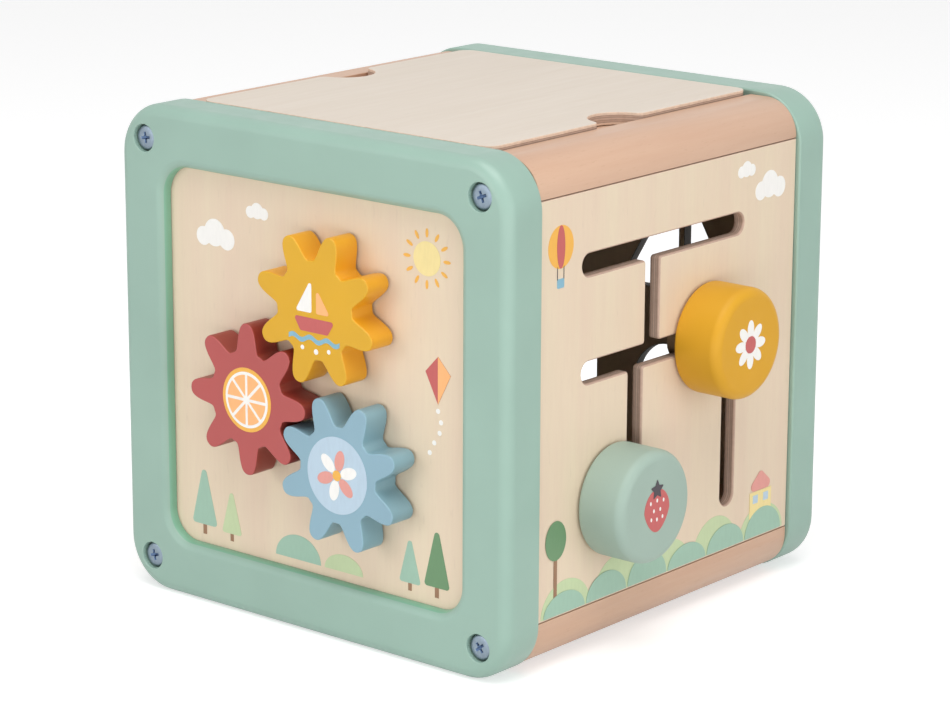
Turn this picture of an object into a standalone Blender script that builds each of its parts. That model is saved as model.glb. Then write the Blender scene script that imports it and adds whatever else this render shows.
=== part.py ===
"""Wooden activity cube for a small child, built in Blender 4.5.

Two painted square frames stand upright, one in front and one behind, and four beech corner rails
run between them. Plywood panels close the sides: meshing gears turn on the front panel, two knobs
slide along slots in the right panel, and the back panel has holes to post shapes through. The lid
lies loose on the two top rails and lifts off by its finger notches.

Units are metres and +Z is up. Sizes below are real sizes. Cube places are given from the middle
of the cube's width (x), from the front frame's face (y) and from the middle of its height (z).
"""
import math

import bmesh
import bpy
from mathutils import Matrix, Vector

COLLECTION_NAME = "activity_cube"

# Gaps between pieces that touch, that turn or slide, and around screw heads
TOUCH_GAP = 0.0003
RUNNING_GAP = 0.0004
HEAD_GAP = 0.0005

# Frames
FRAME_SIDE = 0.200
FRAME_THICKNESS = 0.0195
FRAME_BAR = 0.0235
FRAME_CORNER_RADIUS = 0.021
FRAME_EDGE_ROUNDING = 0.005
FRAME_BACK_ROUNDING = 0.001
WINDOW_CORNER_RADIUS = 0.012
WINDOW_EDGE_ROUNDING = 0.0038
CUBE_DEPTH = 0.203

# Panels
PANEL_THICKNESS = 0.005
PANEL_RECESS = 0.005
PANEL_LAP = 0.0045
SIDE_INSET = 0.002
BOTTOM_SEAM_HEIGHT = 0.0183

# Rails, each with a rounded outer corner and a ledge for the lid or the bottom panel
RAIL_ROUNDING = 0.015
RAIL_HEIGHT = 0.030
RAIL_TOP_WIDTH = 0.0229
LEDGE_WIDTH = 0.0156

# Lid, its right notch a little nearer the front and its left one as much nearer the back
LID_CORNER_RADIUS = 0.006
LID_CLEARANCE = 0.0005
FINGER_NOTCH_RADIUS = 0.0127
FINGER_NOTCH_OFFSET = 0.0035
NOTCH_MOUTH_RADIUS = 0.0040

# Screws
SCREW_INSET = 0.0139
SCREW_LENGTH = 0.040
SCREW_SHANK_RADIUS = 0.002
SCREW_TIP_LENGTH = 0.003
SCREW_HEAD_RADIUS = 0.0050
SCREW_HEAD_HEIGHT = 0.0026
SCREW_HEAD_DEPTH_IN_HOLE = 0.0011
SCREW_RIM_HEIGHT = 0.001
SCREW_CROWN_INSET = 0.0018
SCREW_SHOULDER_INSET = 0.0005
SCREW_SHOULDER_DROP = 0.0009
CROSS_LENGTH = 0.0052
CROSS_WIDTH = 0.0011
CROSS_DEPTH = 0.0014

# Gears, whose tooth shape is a cosine wave with two overtones, given as shares of its swing
GEAR_TEETH = 8
GEAR_TIP_RADIUS = 0.0304
GEAR_ROOT_RADIUS = 0.0193
TOOTH_POINTEDNESS = 0.080
TOOTH_FULLNESS = 0.110
GEAR_THICKNESS = 0.012
GEAR_GAP = 0.0008
GEAR_EDGE_ROUNDING = 0.0005
GEAR_BORE_DEPTH = 0.008
AXLE_RADIUS = 0.004
AXLE_WASHER_RADIUS = 0.009
WASHER_THICKNESS = 0.004
RED_GEAR_X = -0.0242
RED_GEAR_Z = -0.0079
YELLOW_TIP_CLEARANCE = 0.0048
YELLOW_DIRECTION = math.radians(49.1)
YELLOW_TOOTH_ANGLE = math.radians(28.0)
BLUE_TIP_CLEARANCE = 0.0019
BLUE_DIRECTION = math.radians(-24.5)
BLUE_TOOTH_ANGLE = math.radians(20.2)

# Labyrinth slots, as the travel of a stem's centre, with y measured from the panel's middle
SLOTS_FRONT = -0.0514
TOP_SLOT_BACK = 0.0425
TOP_SLOT_Z = 0.0542
MIDDLE_SLOT_Z = 0.0126
BOTTOM_SLOT_FRONT = -0.0491
BOTTOM_SLOT_Z = -0.0398
UPPER_BRANCH = -0.0123
LOWER_BRANCH = -0.0224
REAR_BRANCH = 0.0394
REAR_BRANCH_FOOT_Z = -0.0563

# Knobs, each standing where the photograph shows it along its slot
KNOB_RADIUS = 0.0222
KNOB_THICKNESS = 0.021
KNOB_GAP = 0.0005
KNOB_EDGE_ROUNDING = 0.004
KNOB_BACK_CHAMFER = 0.0006
KNOB_BORE_DEPTH = 0.013
STEM_RADIUS = 0.004
STEM_CLEARANCE = 0.0003
STEM_WASHER_RADIUS = 0.013
YELLOW_KNOB_FROM_SLOT_BACK = 0.0166
GREEN_KNOB_FROM_SLOT_FRONT = 0.0131

# Shape-sorter holes in the back panel
TENT_HOLE_X = 0.0332
TENT_HOLE_BASE_Z = 0.008
TENT_HOLE_SIDE = 0.060
TENT_BAR_OFFSET = 0.002
TENT_BAR_WIDTH = 0.003
ROUND_HOLE_X = 0.0295
ROUND_HOLE_Z = -0.0339
ROUND_HOLE_RADIUS = 0.018
SQUARE_HOLE_X = -0.0267
SQUARE_HOLE_SIDE = 0.036
SORTER_CORNER_RADIUS = 0.002

# Smoothness of round shapes, and how near points or faces are to be joined
CORNER_STEPS = 6
BEVEL_SEGMENTS = 3
TOOTH_STEPS = 10
ROUND_STEPS = 40
DOWEL_STEPS = 16
SMALL_ARC_STEPS = 3
SHARP_ANGLE = math.radians(35.0)
FACE_EDGE_ANGLE = math.radians(60.0)
FLAT_ANGLE = math.radians(0.1)
MERGE_DISTANCE = 0.00001

# Worked out from the sizes above
HALF_SIDE = FRAME_SIDE / 2
WINDOW_SIDE = FRAME_SIDE - 2 * FRAME_BAR
REBATE_SIDE = WINDOW_SIDE + 2 * PANEL_LAP
SIDE_FACE = HALF_SIDE - SIDE_INSET
SIDE_PANEL_BACK = SIDE_FACE - PANEL_THICKNESS
SCREW_PLACE = HALF_SIDE - SCREW_INSET
SPAN_FRONT_Y = FRAME_THICKNESS + TOUCH_GAP
SPAN_LENGTH = CUBE_DEPTH - 2 * SPAN_FRONT_Y
SPAN_MIDDLE_Y = CUBE_DEPTH / 2
LEDGE_WALL = SIDE_FACE - RAIL_TOP_WIDTH
LID_UNDERSIDE = HALF_SIDE - PANEL_THICKNESS
LID_WIDTH = 2 * (LEDGE_WALL - LID_CLEARANCE)
LID_LENGTH = CUBE_DEPTH - 2 * (FRAME_THICKNESS + LID_CLEARANCE)
PANEL_CUT_DEPTH = 3 * PANEL_THICKNESS
GEAR_BACK_Y = PANEL_RECESS - GEAR_GAP
GEAR_MIDDLE_Y = GEAR_BACK_Y - GEAR_THICKNESS / 2
GEAR_REACH = GEAR_THICKNESS - GEAR_BACK_Y
KNOB_BASE_X = SIDE_FACE + KNOB_GAP
KNOB_REACH = KNOB_BASE_X + KNOB_THICKNESS - HALF_SIDE
MESH_DISTANCE = GEAR_TIP_RADIUS + GEAR_ROOT_RADIUS
CENTRE_X = -KNOB_REACH / 2
FRONT_Y = (GEAR_REACH - CUBE_DEPTH) / 2

# Directions that a flat outline faces: its own z axis becomes the direction named
FACING_FRONT = Matrix(((1, 0, 0), (0, 0, -1), (0, 1, 0))).to_4x4()
FACING_BACK = Matrix(((-1, 0, 0), (0, 0, 1), (0, 1, 0))).to_4x4()
FACING_RIGHT = Matrix(((0, 0, 1), (1, 0, 0), (0, 1, 0))).to_4x4()
FACING_UP = Matrix.Identity(4)

# Colours as sRGB bytes, with roughness and metallic value
FINISHES = {
    "sage_paint": ((164, 191, 178), 0.45, 0.0),
    "plywood": ((228, 209, 184), 0.60, 0.0),
    "beech": ((216, 174, 142), 0.55, 0.0),
    "yellow_paint": ((233, 178, 62), 0.42, 0.0),
    "red_paint": ((190, 96, 90), 0.42, 0.0),
    "blue_paint": ((150, 184, 202), 0.42, 0.0),
    "green_paint": ((160, 192, 178), 0.42, 0.0),
    "birch_dowel": ((214, 186, 150), 0.60, 0.0),
    "zinc": ((190, 197, 205), 0.30, 1.0),
}


def clear_scene():
    for old in list(bpy.data.objects):
        bpy.data.objects.remove(old, do_unlink=True)


def new_collection(name):
    collection = bpy.data.collections.new(name)
    bpy.context.scene.collection.children.link(collection)
    return collection


def linear(byte):
    value = byte / 255
    return value / 12.92 if value <= 0.04045 else ((value + 0.055) / 1.055) ** 2.4


def make_finish(name):
    colour, roughness, metallic = FINISHES[name]
    material = bpy.data.materials.new(name)
    material.use_nodes = True
    shader = material.node_tree.nodes["Principled BSDF"]
    shader.inputs["Base Color"].default_value = [linear(byte) for byte in colour] + [1.0]
    shader.inputs["Roughness"].default_value = roughness
    shader.inputs["Metallic"].default_value = metallic
    return material


def place(x, y, z, facing=FACING_UP):
    return Matrix.Translation((CENTRE_X + x, FRONT_Y + y, HALF_SIDE + z)) @ facing


def shade(mesh):
    mesh.shade_smooth()
    mesh.set_sharp_from_angle(angle=SHARP_ANGLE)


def add_piece(name, mesh, matrix, finish):
    piece = bpy.data.objects.new(name, mesh)
    piece.matrix_world = matrix
    mesh.materials.append(finishes[finish])
    part_collection.objects.link(piece)
    return piece


def add_cutter(name, mesh, matrix):
    cutter = bpy.data.objects.new(name, mesh)
    cutter.matrix_world = matrix
    cutter.hide_render = True
    cutter.display_type = "WIRE"
    cutter_collection.objects.link(cutter)
    return cutter


def cut(piece, *cutters):
    for cutter in cutters:
        boolean = piece.modifiers.new(cutter.name, "BOOLEAN")
        boolean.operation = "DIFFERENCE"
        boolean.solver = "EXACT"
        boolean.object = cutter


def round_edges(piece, radius, segments, limit="ANGLE"):
    """Round the edges between a flat piece's faces and its sides, or those that have a weight."""
    bevel = piece.modifiers.new("rounded edges", "BEVEL")
    bevel.width = radius
    bevel.segments = segments
    bevel.limit_method = limit
    bevel.angle_limit = FACE_EDGE_ANGLE


def clean(mesh, join_flat_faces):
    """Weld a mesh and point its faces out. Flat faces are joined only where none has a hole."""
    work = bmesh.new()
    work.from_mesh(mesh)
    bmesh.ops.remove_doubles(work, verts=work.verts, dist=MERGE_DISTANCE)
    if join_flat_faces:
        bmesh.ops.dissolve_limit(work, angle_limit=FLAT_ANGLE, verts=work.verts, edges=work.edges)
    bmesh.ops.recalc_face_normals(work, faces=work.faces)
    work.to_mesh(mesh)
    work.free()
    return mesh


def flat_mesh(name, outlines, thickness):
    """A flat outline with its holes, drawn in x and y and as thick as given along z."""
    curve = bpy.data.curves.new(name, "CURVE")
    curve.dimensions = "2D"
    curve.fill_mode = "BOTH"
    curve.extrude = thickness / 2
    for outline in outlines:
        spline = curve.splines.new("POLY")
        spline.points.add(len(outline) - 1)
        for point, (u, v) in zip(spline.points, outline):
            point.co = (u, v, 0, 1)
        spline.use_cyclic_u = True
    drawing = bpy.data.objects.new(name, curve)
    bpy.context.scene.collection.objects.link(drawing)
    evaluated = drawing.evaluated_get(bpy.context.evaluated_depsgraph_get())
    mesh = bpy.data.meshes.new_from_object(evaluated)
    bpy.data.objects.remove(drawing)
    bpy.data.curves.remove(curve)
    mesh.materials.clear()
    return clean(mesh, join_flat_faces=len(outlines) == 1)


def rod_mesh(name, radius, length, steps=DOWEL_STEPS):
    """A plain round rod along z, centred on its own origin."""
    mesh = bpy.data.meshes.new(name)
    work = bmesh.new()
    bmesh.ops.create_cone(work, cap_ends=True, segments=steps, radius1=radius,
                          radius2=radius, depth=length)
    work.to_mesh(mesh)
    work.free()
    shade(mesh)
    return mesh


def turned_mesh(name, profile, steps, ring=False):
    """A profile of (radius, height) points turned about z. A ring's profile closes on itself."""
    mesh = bpy.data.meshes.new(name)
    edges = [(i, i + 1) for i in range(len(profile) - 1)]
    if ring:
        edges.append((len(profile) - 1, 0))
    mesh.from_pydata([(radius, 0, height) for radius, height in profile], edges, [])
    lathe = bpy.data.objects.new(name, mesh)
    bpy.context.scene.collection.objects.link(lathe)
    screw = lathe.modifiers.new("turn", "SCREW")
    screw.axis = "Z"
    screw.steps = steps
    screw.render_steps = steps
    screw.use_merge_vertices = True
    screw.merge_threshold = MERGE_DISTANCE
    evaluated = lathe.evaluated_get(bpy.context.evaluated_depsgraph_get())
    turned = bpy.data.meshes.new_from_object(evaluated)
    bpy.data.objects.remove(lathe)
    bpy.data.meshes.remove(mesh)
    clean(turned, join_flat_faces=False)
    shade(turned)
    return turned


def arc(centre_u, centre_v, radius, start, end, steps):
    """Points along an arc from one angle to another, both ends included."""
    points = []
    for i in range(steps + 1):
        angle = start + (end - start) * i / steps
        points.append((centre_u + radius * math.cos(angle), centre_v + radius * math.sin(angle)))
    return points


def rounded(corners, radius, steps):
    """A convex outline, its corners given anticlockwise, with each corner rounded."""
    outline = []
    count = len(corners)
    for i in range(count):
        corner = Vector(corners[i])
        before = (Vector(corners[i - 1]) - corner).normalized()
        after = (Vector(corners[(i + 1) % count]) - corner).normalized()
        half_angle = before.angle(after) / 2
        centre = corner + (before + after).normalized() * radius / math.sin(half_angle)
        turn = math.pi - 2 * half_angle
        middle = math.atan2(corner.y - centre.y, corner.x - centre.x)
        outline += arc(centre.x, centre.y, radius, middle - turn / 2, middle + turn / 2, steps)
    return outline


def rectangle(width, height, middle_u=0.0, middle_v=0.0):
    u, v = width / 2, height / 2
    return [(middle_u - u, middle_v - v), (middle_u + u, middle_v - v),
            (middle_u + u, middle_v + v), (middle_u - u, middle_v + v)]


def circle(centre_u, centre_v, radius, steps):
    return arc(centre_u, centre_v, radius, 0, 2 * math.pi, steps)[:-1]


def slot_outline(start, end):
    """A slot with round ends that lets a stem's centre travel from start to end."""
    along = math.atan2(end[1] - start[1], end[0] - start[0])
    quarter = math.pi / 2
    radius = STEM_RADIUS + STEM_CLEARANCE
    return (arc(*end, radius, along - quarter, along + quarter, CORNER_STEPS)
            + arc(*start, radius, along + quarter, along + 3 * quarter, CORNER_STEPS))


def gear_outline(tooth_angle):
    """Soft round teeth from a cosine wave whose overtones round the tips and fill the flanks."""
    middle = (GEAR_TIP_RADIUS + GEAR_ROOT_RADIUS) / 2
    swing = (GEAR_TIP_RADIUS - GEAR_ROOT_RADIUS) / 2
    count = GEAR_TEETH * TOOTH_STEPS
    outline = []
    for i in range(count):
        angle = 2 * math.pi * i / count
        wave = GEAR_TEETH * angle
        radius = middle + swing * ((1 + TOOTH_FULLNESS) * math.cos(wave)
                                   - TOOTH_FULLNESS * math.cos(3 * wave)
                                   + TOOTH_POINTEDNESS * (math.cos(2 * wave) - 1))
        direction = angle + tooth_angle
        outline.append((radius * math.cos(direction), radius * math.sin(direction)))
    return outline


def rail_outline(side, top):
    """A corner rail's section, seen from the front. side is 1 at right, top is 1 above."""
    seam_height = RAIL_ROUNDING if top > 0 else BOTTOM_SEAM_HEIGHT
    ledge_depth = PANEL_THICKNESS if top < 0 else SIDE_FACE - LID_UNDERSIDE
    ledge = SIDE_FACE - ledge_depth - TOUCH_GAP
    centre = SIDE_FACE - RAIL_ROUNDING
    inner = LEDGE_WALL - LEDGE_WIDTH
    foot = SIDE_FACE - RAIL_HEIGHT
    tongue = SIDE_PANEL_BACK - TOUCH_GAP
    seam = SIDE_FACE - seam_height
    outline = arc(centre, centre, RAIL_ROUNDING, 0, math.pi / 2, CORNER_STEPS)
    outline += [(LEDGE_WALL, SIDE_FACE), (LEDGE_WALL, ledge), (inner, ledge), (inner, foot),
                (tongue, foot), (tongue, seam)]
    if seam < centre:
        outline.append((SIDE_FACE, seam))
    return [(side * u, top * v) for u, v in outline]


def weigh_frame_edges(mesh):
    """Give a frame's front edges their full rounding and its back edges the smaller one."""
    work = bmesh.new()
    work.from_mesh(mesh)
    weights = work.edges.layers.float.new("bevel_weight_edge")
    for edge in work.edges:
        heights = [vert.co.z for vert in edge.verts]
        if min(heights) > 0:
            edge[weights] = 1.0
        elif max(heights) < 0:
            edge[weights] = FRAME_BACK_ROUNDING / FRAME_EDGE_ROUNDING
    work.to_mesh(mesh)
    work.free()


def window_mesh(name):
    """What a frame's window takes away. It flares at the front, which rounds the window's edge."""
    front = FRAME_THICKNESS / 2
    flare = arc(WINDOW_EDGE_ROUNDING, front - WINDOW_EDGE_ROUNDING, WINDOW_EDGE_ROUNDING,
                math.pi, math.pi / 2, BEVEL_SEGMENTS)
    profile = [(0, -FRAME_THICKNESS)] + flare + [(WINDOW_EDGE_ROUNDING, FRAME_THICKNESS)]
    work = bmesh.new()
    rings = []
    for spread, height in profile:
        side = WINDOW_SIDE + 2 * spread
        outline = rounded(rectangle(side, side), WINDOW_CORNER_RADIUS + spread, CORNER_STEPS)
        rings.append([work.verts.new((u, v, height)) for u, v in outline])
    for lower, upper in zip(rings, rings[1:]):
        for i in range(len(lower)):
            work.faces.new((lower[i - 1], lower[i], upper[i], upper[i - 1]))
    work.faces.new(reversed(rings[0]))
    work.faces.new(rings[-1])
    mesh = bpy.data.meshes.new(name)
    work.to_mesh(mesh)
    work.free()
    return mesh


def long_edges():
    """The cube's four long edges as the front sees them, with their signs in x and z."""
    return [("lower_left", -1, -1), ("lower_right", 1, -1), ("upper_right", 1, 1), ("upper_left", -1, 1)]


def add_frame(name, face_y, facing, inward, screw_cutters):
    """A square frame with a window, a rebate behind it for the panel, and four screw holes."""
    outer = rounded(rectangle(FRAME_SIDE, FRAME_SIDE), FRAME_CORNER_RADIUS, CORNER_STEPS)
    mesh = flat_mesh(name, [outer], FRAME_THICKNESS)
    weigh_frame_edges(mesh)
    shade(mesh)
    frame_place = place(0, face_y + inward * FRAME_THICKNESS / 2, 0, facing)
    frame = add_piece(name, mesh, frame_place, "sage_paint")
    round_edges(frame, FRAME_EDGE_ROUNDING, BEVEL_SEGMENTS, "WEIGHT")
    cut(frame, add_cutter(name + "_window", window_mesh(name + "_window"), frame_place))
    recess = rounded(rectangle(REBATE_SIDE, REBATE_SIDE), WINDOW_CORNER_RADIUS, CORNER_STEPS)
    rebate = flat_mesh(name + "_rebate", [recess], FRAME_THICKNESS)
    rebate_middle = face_y + inward * (PANEL_RECESS + FRAME_THICKNESS / 2)
    cut(frame, add_cutter(name + "_rebate", rebate, place(0, rebate_middle, 0, facing)))
    cut(frame, *screw_cutters)


def add_window_panel(name, face_y, facing, inward, holes):
    """A plywood panel that fills the rebate behind a frame's window."""
    side = REBATE_SIDE - 2 * TOUCH_GAP
    outline = rounded(rectangle(side, side), WINDOW_CORNER_RADIUS, CORNER_STEPS)
    mesh = flat_mesh(name, [outline] + holes, PANEL_THICKNESS)
    shade(mesh)
    middle_y = face_y + inward * (PANEL_RECESS + TOUCH_GAP + PANEL_THICKNESS / 2)
    add_piece(name, mesh, place(0, middle_y, 0, facing), "plywood")


def screw_hole_cutters(end, face_y, facing):
    """For one frame, its four counterbores and the four long holes that run on into the rails."""
    bore_depth = SCREW_HEAD_DEPTH_IN_HOLE + SCREW_HEAD_HEIGHT + TOUCH_GAP
    hole_length = bore_depth + SCREW_LENGTH
    hole = rod_mesh(end + "_screw_hole", SCREW_SHANK_RADIUS + TOUCH_GAP, 2 * hole_length)
    bore = rod_mesh(end + "_counterbore", SCREW_HEAD_RADIUS + HEAD_GAP, 2 * bore_depth)
    holes, bores = [], []
    for spot, side, top in long_edges():
        matrix = place(side * SCREW_PLACE, face_y, top * SCREW_PLACE, facing)
        holes.append(add_cutter(end + "_screw_hole_" + spot, hole, matrix))
        bores.append(add_cutter(end + "_counterbore_" + spot, bore, matrix))
    return holes, bores


def screw_mesh():
    """A pan-head screw along z, its head's top at the origin, with a cross recess."""
    under_head = -SCREW_HEAD_HEIGHT
    tip = under_head - SCREW_LENGTH + 2 * TOUCH_GAP
    profile = [(0, 0), (SCREW_HEAD_RADIUS - SCREW_CROWN_INSET, 0),
               (SCREW_HEAD_RADIUS - SCREW_SHOULDER_INSET, -SCREW_SHOULDER_DROP),
               (SCREW_HEAD_RADIUS, under_head + SCREW_RIM_HEIGHT), (SCREW_HEAD_RADIUS, under_head),
               (SCREW_SHANK_RADIUS, under_head), (SCREW_SHANK_RADIUS, tip + SCREW_TIP_LENGTH), (0, tip)]
    blank = bpy.data.objects.new("screw", turned_mesh("screw", profile, DOWEL_STEPS))
    bpy.context.scene.collection.objects.link(blank)
    across = flat_mesh("cross", [rectangle(CROSS_LENGTH, CROSS_WIDTH)], 2 * CROSS_DEPTH)
    arms = [add_cutter("cross_arm_" + str(turn), across,
                       Matrix.Rotation(math.radians(turn), 4, "Z")) for turn in (0, 90)]
    cut(blank, *arms)
    bpy.context.view_layer.update()
    evaluated = blank.evaluated_get(bpy.context.evaluated_depsgraph_get())
    mesh = bpy.data.meshes.new_from_object(evaluated)
    for spare in [blank] + arms:
        bpy.data.objects.remove(spare)
    mesh.materials.clear()
    mesh.materials.append(finishes["zinc"])
    shade(mesh)
    return mesh


def add_screws(end, mesh, face_y, facing, inward):
    for spot, side, top in long_edges():
        screw = bpy.data.objects.new(end + "_screw_" + spot, mesh)
        screw.matrix_world = place(side * SCREW_PLACE, face_y + inward * SCREW_HEAD_DEPTH_IN_HOLE,
                                   top * SCREW_PLACE, facing)
        part_collection.objects.link(screw)


def add_rails(front_holes, back_holes):
    for index, (spot, side, top) in enumerate(long_edges()):
        name = "rail_" + spot
        mesh = flat_mesh(name, [rail_outline(side, top)], SPAN_LENGTH)
        shade(mesh)
        rail = add_piece(name, mesh, place(0, SPAN_MIDDLE_Y, 0, FACING_FRONT), "beech")
        cut(rail, front_holes[index], back_holes[index])


def side_panel_mesh(name):
    """A side panel's sheet, drawn with u from the middle of its length and v from mid-height."""
    top = SIDE_FACE - RAIL_ROUNDING - TOUCH_GAP
    bottom = -SIDE_FACE + BOTTOM_SEAM_HEIGHT + TOUCH_GAP
    outline = rectangle(SPAN_LENGTH, top - bottom, 0, (top + bottom) / 2)
    return flat_mesh(name, [outline], PANEL_THICKNESS)


def add_side_panels():
    middle_x = SIDE_FACE - PANEL_THICKNESS / 2
    add_piece("left_panel", side_panel_mesh("left_panel"),
              place(-middle_x, SPAN_MIDDLE_Y, 0, FACING_RIGHT), "plywood")
    right_place = place(middle_x, SPAN_MIDDLE_Y, 0, FACING_RIGHT)
    right = add_piece("right_panel", side_panel_mesh("right_panel"), right_place, "plywood")
    slots = {
        "top_slot": ((SLOTS_FRONT, TOP_SLOT_Z), (TOP_SLOT_BACK, TOP_SLOT_Z)),
        "middle_slot": ((SLOTS_FRONT, MIDDLE_SLOT_Z), (REAR_BRANCH, MIDDLE_SLOT_Z)),
        "bottom_slot": ((BOTTOM_SLOT_FRONT, BOTTOM_SLOT_Z), (LOWER_BRANCH, BOTTOM_SLOT_Z)),
        "upper_branch": ((UPPER_BRANCH, MIDDLE_SLOT_Z), (UPPER_BRANCH, TOP_SLOT_Z)),
        "lower_branch": ((LOWER_BRANCH, BOTTOM_SLOT_Z), (LOWER_BRANCH, MIDDLE_SLOT_Z)),
        "rear_branch": ((REAR_BRANCH, REAR_BRANCH_FOOT_Z), (REAR_BRANCH, MIDDLE_SLOT_Z)),
    }
    for name, (start, end) in slots.items():
        mesh = flat_mesh(name, [slot_outline(start, end)], PANEL_CUT_DEPTH)
        cut(right, add_cutter(name, mesh, right_place))


def add_bottom_panel():
    outline = rectangle(LID_WIDTH, SPAN_LENGTH)
    mesh = flat_mesh("bottom_panel", [outline], PANEL_THICKNESS)
    middle_z = -SIDE_FACE + PANEL_THICKNESS / 2
    add_piece("bottom_panel", mesh, place(0, SPAN_MIDDLE_Y, middle_z), "plywood")


def lid_outline():
    """The lid, with a finger notch, flared at its mouth, in its left and its right edge."""
    reach, mouth = FINGER_NOTCH_RADIUS, NOTCH_MOUTH_RADIUS
    away = math.sqrt((reach + mouth) ** 2 - mouth ** 2)
    lean = math.atan2(mouth, away)
    quarter_turn = math.pi / 2
    notch = (arc(-mouth, -away, mouth, 0, quarter_turn - lean, SMALL_ARC_STEPS)
             + arc(0, 0, reach, 3 * quarter_turn - lean, quarter_turn + lean, ROUND_STEPS // 2)[1:-1]
             + arc(-mouth, away, mouth, lean - quarter_turn, 0, SMALL_ARC_STEPS))
    right = [(u + LID_WIDTH / 2, v - FINGER_NOTCH_OFFSET) for u, v in notch]
    left = [(-u, -v) for u, v in right]
    corners = rounded(rectangle(LID_WIDTH, LID_LENGTH), LID_CORNER_RADIUS, CORNER_STEPS)
    half = len(corners) // 2
    return corners[:half] + right + corners[half:] + left


def add_lid():
    mesh = flat_mesh("lid", [lid_outline()], PANEL_THICKNESS)
    shade(mesh)
    middle_z = LID_UNDERSIDE + PANEL_THICKNESS / 2
    add_piece("lid", mesh, place(0, SPAN_MIDDLE_Y, middle_z), "plywood")


def sorter_holes():
    """The back panel's holes, placed as seen from the front, with x turned round to face the back."""
    slope = 1 / math.sqrt(3)
    left = TENT_HOLE_X - TENT_HOLE_SIDE / 2
    right = TENT_HOLE_X + TENT_HOLE_SIDE / 2
    base = TENT_HOLE_BASE_Z
    bar = TENT_HOLE_X + TENT_BAR_OFFSET
    bar_left = bar - TENT_BAR_WIDTH / 2
    bar_right = bar + TENT_BAR_WIDTH / 2
    left_tent = [(left, base), (bar_left, base), (bar_left, base + (bar_left - left) / slope)]
    right_tent = [(bar_right, base), (right, base), (bar_right, base + (right - bar_right) / slope)]
    square = rectangle(SQUARE_HOLE_SIDE, SQUARE_HOLE_SIDE, SQUARE_HOLE_X, ROUND_HOLE_Z)
    holes = [rounded(shape, SORTER_CORNER_RADIUS, SMALL_ARC_STEPS)
             for shape in (left_tent, right_tent, square)]
    holes.append(circle(ROUND_HOLE_X, ROUND_HOLE_Z, ROUND_HOLE_RADIUS, ROUND_STEPS))
    return [[(-u, v) for u, v in hole] for hole in holes]


def washer_mesh(name, hole_radius, radius):
    half = WASHER_THICKNESS / 2
    profile = [(hole_radius, half), (radius, half), (radius, -half), (hole_radius, -half)]
    return turned_mesh(name, profile, ROUND_STEPS // 2, ring=True)


def gear_places():
    """Each gear's centre and the angle of one of its teeth, as seen from the front."""
    yellow = MESH_DISTANCE + YELLOW_TIP_CLEARANCE
    blue = MESH_DISTANCE + BLUE_TIP_CLEARANCE
    return {
        "red": (RED_GEAR_X, RED_GEAR_Z, 0.0),
        "yellow": (RED_GEAR_X + yellow * math.cos(YELLOW_DIRECTION),
                   RED_GEAR_Z + yellow * math.sin(YELLOW_DIRECTION), YELLOW_TOOTH_ANGLE),
        "blue": (RED_GEAR_X + blue * math.cos(BLUE_DIRECTION),
                 RED_GEAR_Z + blue * math.sin(BLUE_DIRECTION), BLUE_TOOTH_ANGLE),
    }


def add_gear(colour, x, z, tooth_angle):
    """A gear with its axle in a blind bore, and the washer that holds the axle behind the panel."""
    name = colour + "_gear"
    mesh = flat_mesh(name, [gear_outline(tooth_angle)], GEAR_THICKNESS)
    shade(mesh)
    gear = add_piece(name, mesh, place(x, GEAR_MIDDLE_Y, z, FACING_FRONT), colour + "_paint")
    round_edges(gear, GEAR_EDGE_ROUNDING, 1)
    bore = rod_mesh(name + "_bore", AXLE_RADIUS + TOUCH_GAP, 2 * GEAR_BORE_DEPTH)
    cut(gear, add_cutter(name + "_bore", bore, place(x, GEAR_BACK_Y, z, FACING_FRONT)))
    washer_front = PANEL_RECESS + TOUCH_GAP + PANEL_THICKNESS + RUNNING_GAP
    axle_start = GEAR_BACK_Y - GEAR_BORE_DEPTH + TOUCH_GAP
    axle_end = washer_front + WASHER_THICKNESS
    axle = rod_mesh(name + "_axle", AXLE_RADIUS, axle_end - axle_start)
    add_piece(name + "_axle", axle, place(x, (axle_start + axle_end) / 2, z, FACING_FRONT),
              "birch_dowel")
    washer = washer_mesh(name + "_washer", AXLE_RADIUS + TOUCH_GAP, AXLE_WASHER_RADIUS)
    add_piece(name + "_washer", washer,
              place(x, washer_front + WASHER_THICKNESS / 2, z, FACING_FRONT), "birch_dowel")


def add_knob(colour, y, z):
    """A knob that turns on a stem through the slot, and the washer behind the panel."""
    name = colour + "_knob"
    quarter = math.pi / 2
    rim = arc(KNOB_RADIUS - KNOB_EDGE_ROUNDING, KNOB_THICKNESS - KNOB_EDGE_ROUNDING,
              KNOB_EDGE_ROUNDING, quarter, 0, CORNER_STEPS)
    bore = STEM_RADIUS + TOUCH_GAP
    profile = ([(0, KNOB_THICKNESS)] + rim
               + [(KNOB_RADIUS, KNOB_BACK_CHAMFER), (KNOB_RADIUS - KNOB_BACK_CHAMFER, 0),
                  (bore, 0), (bore, KNOB_BORE_DEPTH), (0, KNOB_BORE_DEPTH)])
    add_piece(name, turned_mesh(name, profile, ROUND_STEPS), place(KNOB_BASE_X, y, z, FACING_RIGHT),
              colour + "_paint")
    washer_face = SIDE_PANEL_BACK - RUNNING_GAP
    stem_start = washer_face - WASHER_THICKNESS
    stem_end = KNOB_BASE_X + KNOB_BORE_DEPTH - TOUCH_GAP
    stem = rod_mesh(name + "_stem", STEM_RADIUS, stem_end - stem_start)
    add_piece(name + "_stem", stem, place((stem_start + stem_end) / 2, y, z, FACING_RIGHT),
              "birch_dowel")
    washer = washer_mesh(name + "_washer", STEM_RADIUS + TOUCH_GAP, STEM_WASHER_RADIUS)
    add_piece(name + "_washer", washer,
              place(washer_face - WASHER_THICKNESS / 2, y, z, FACING_RIGHT), "birch_dowel")


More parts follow.
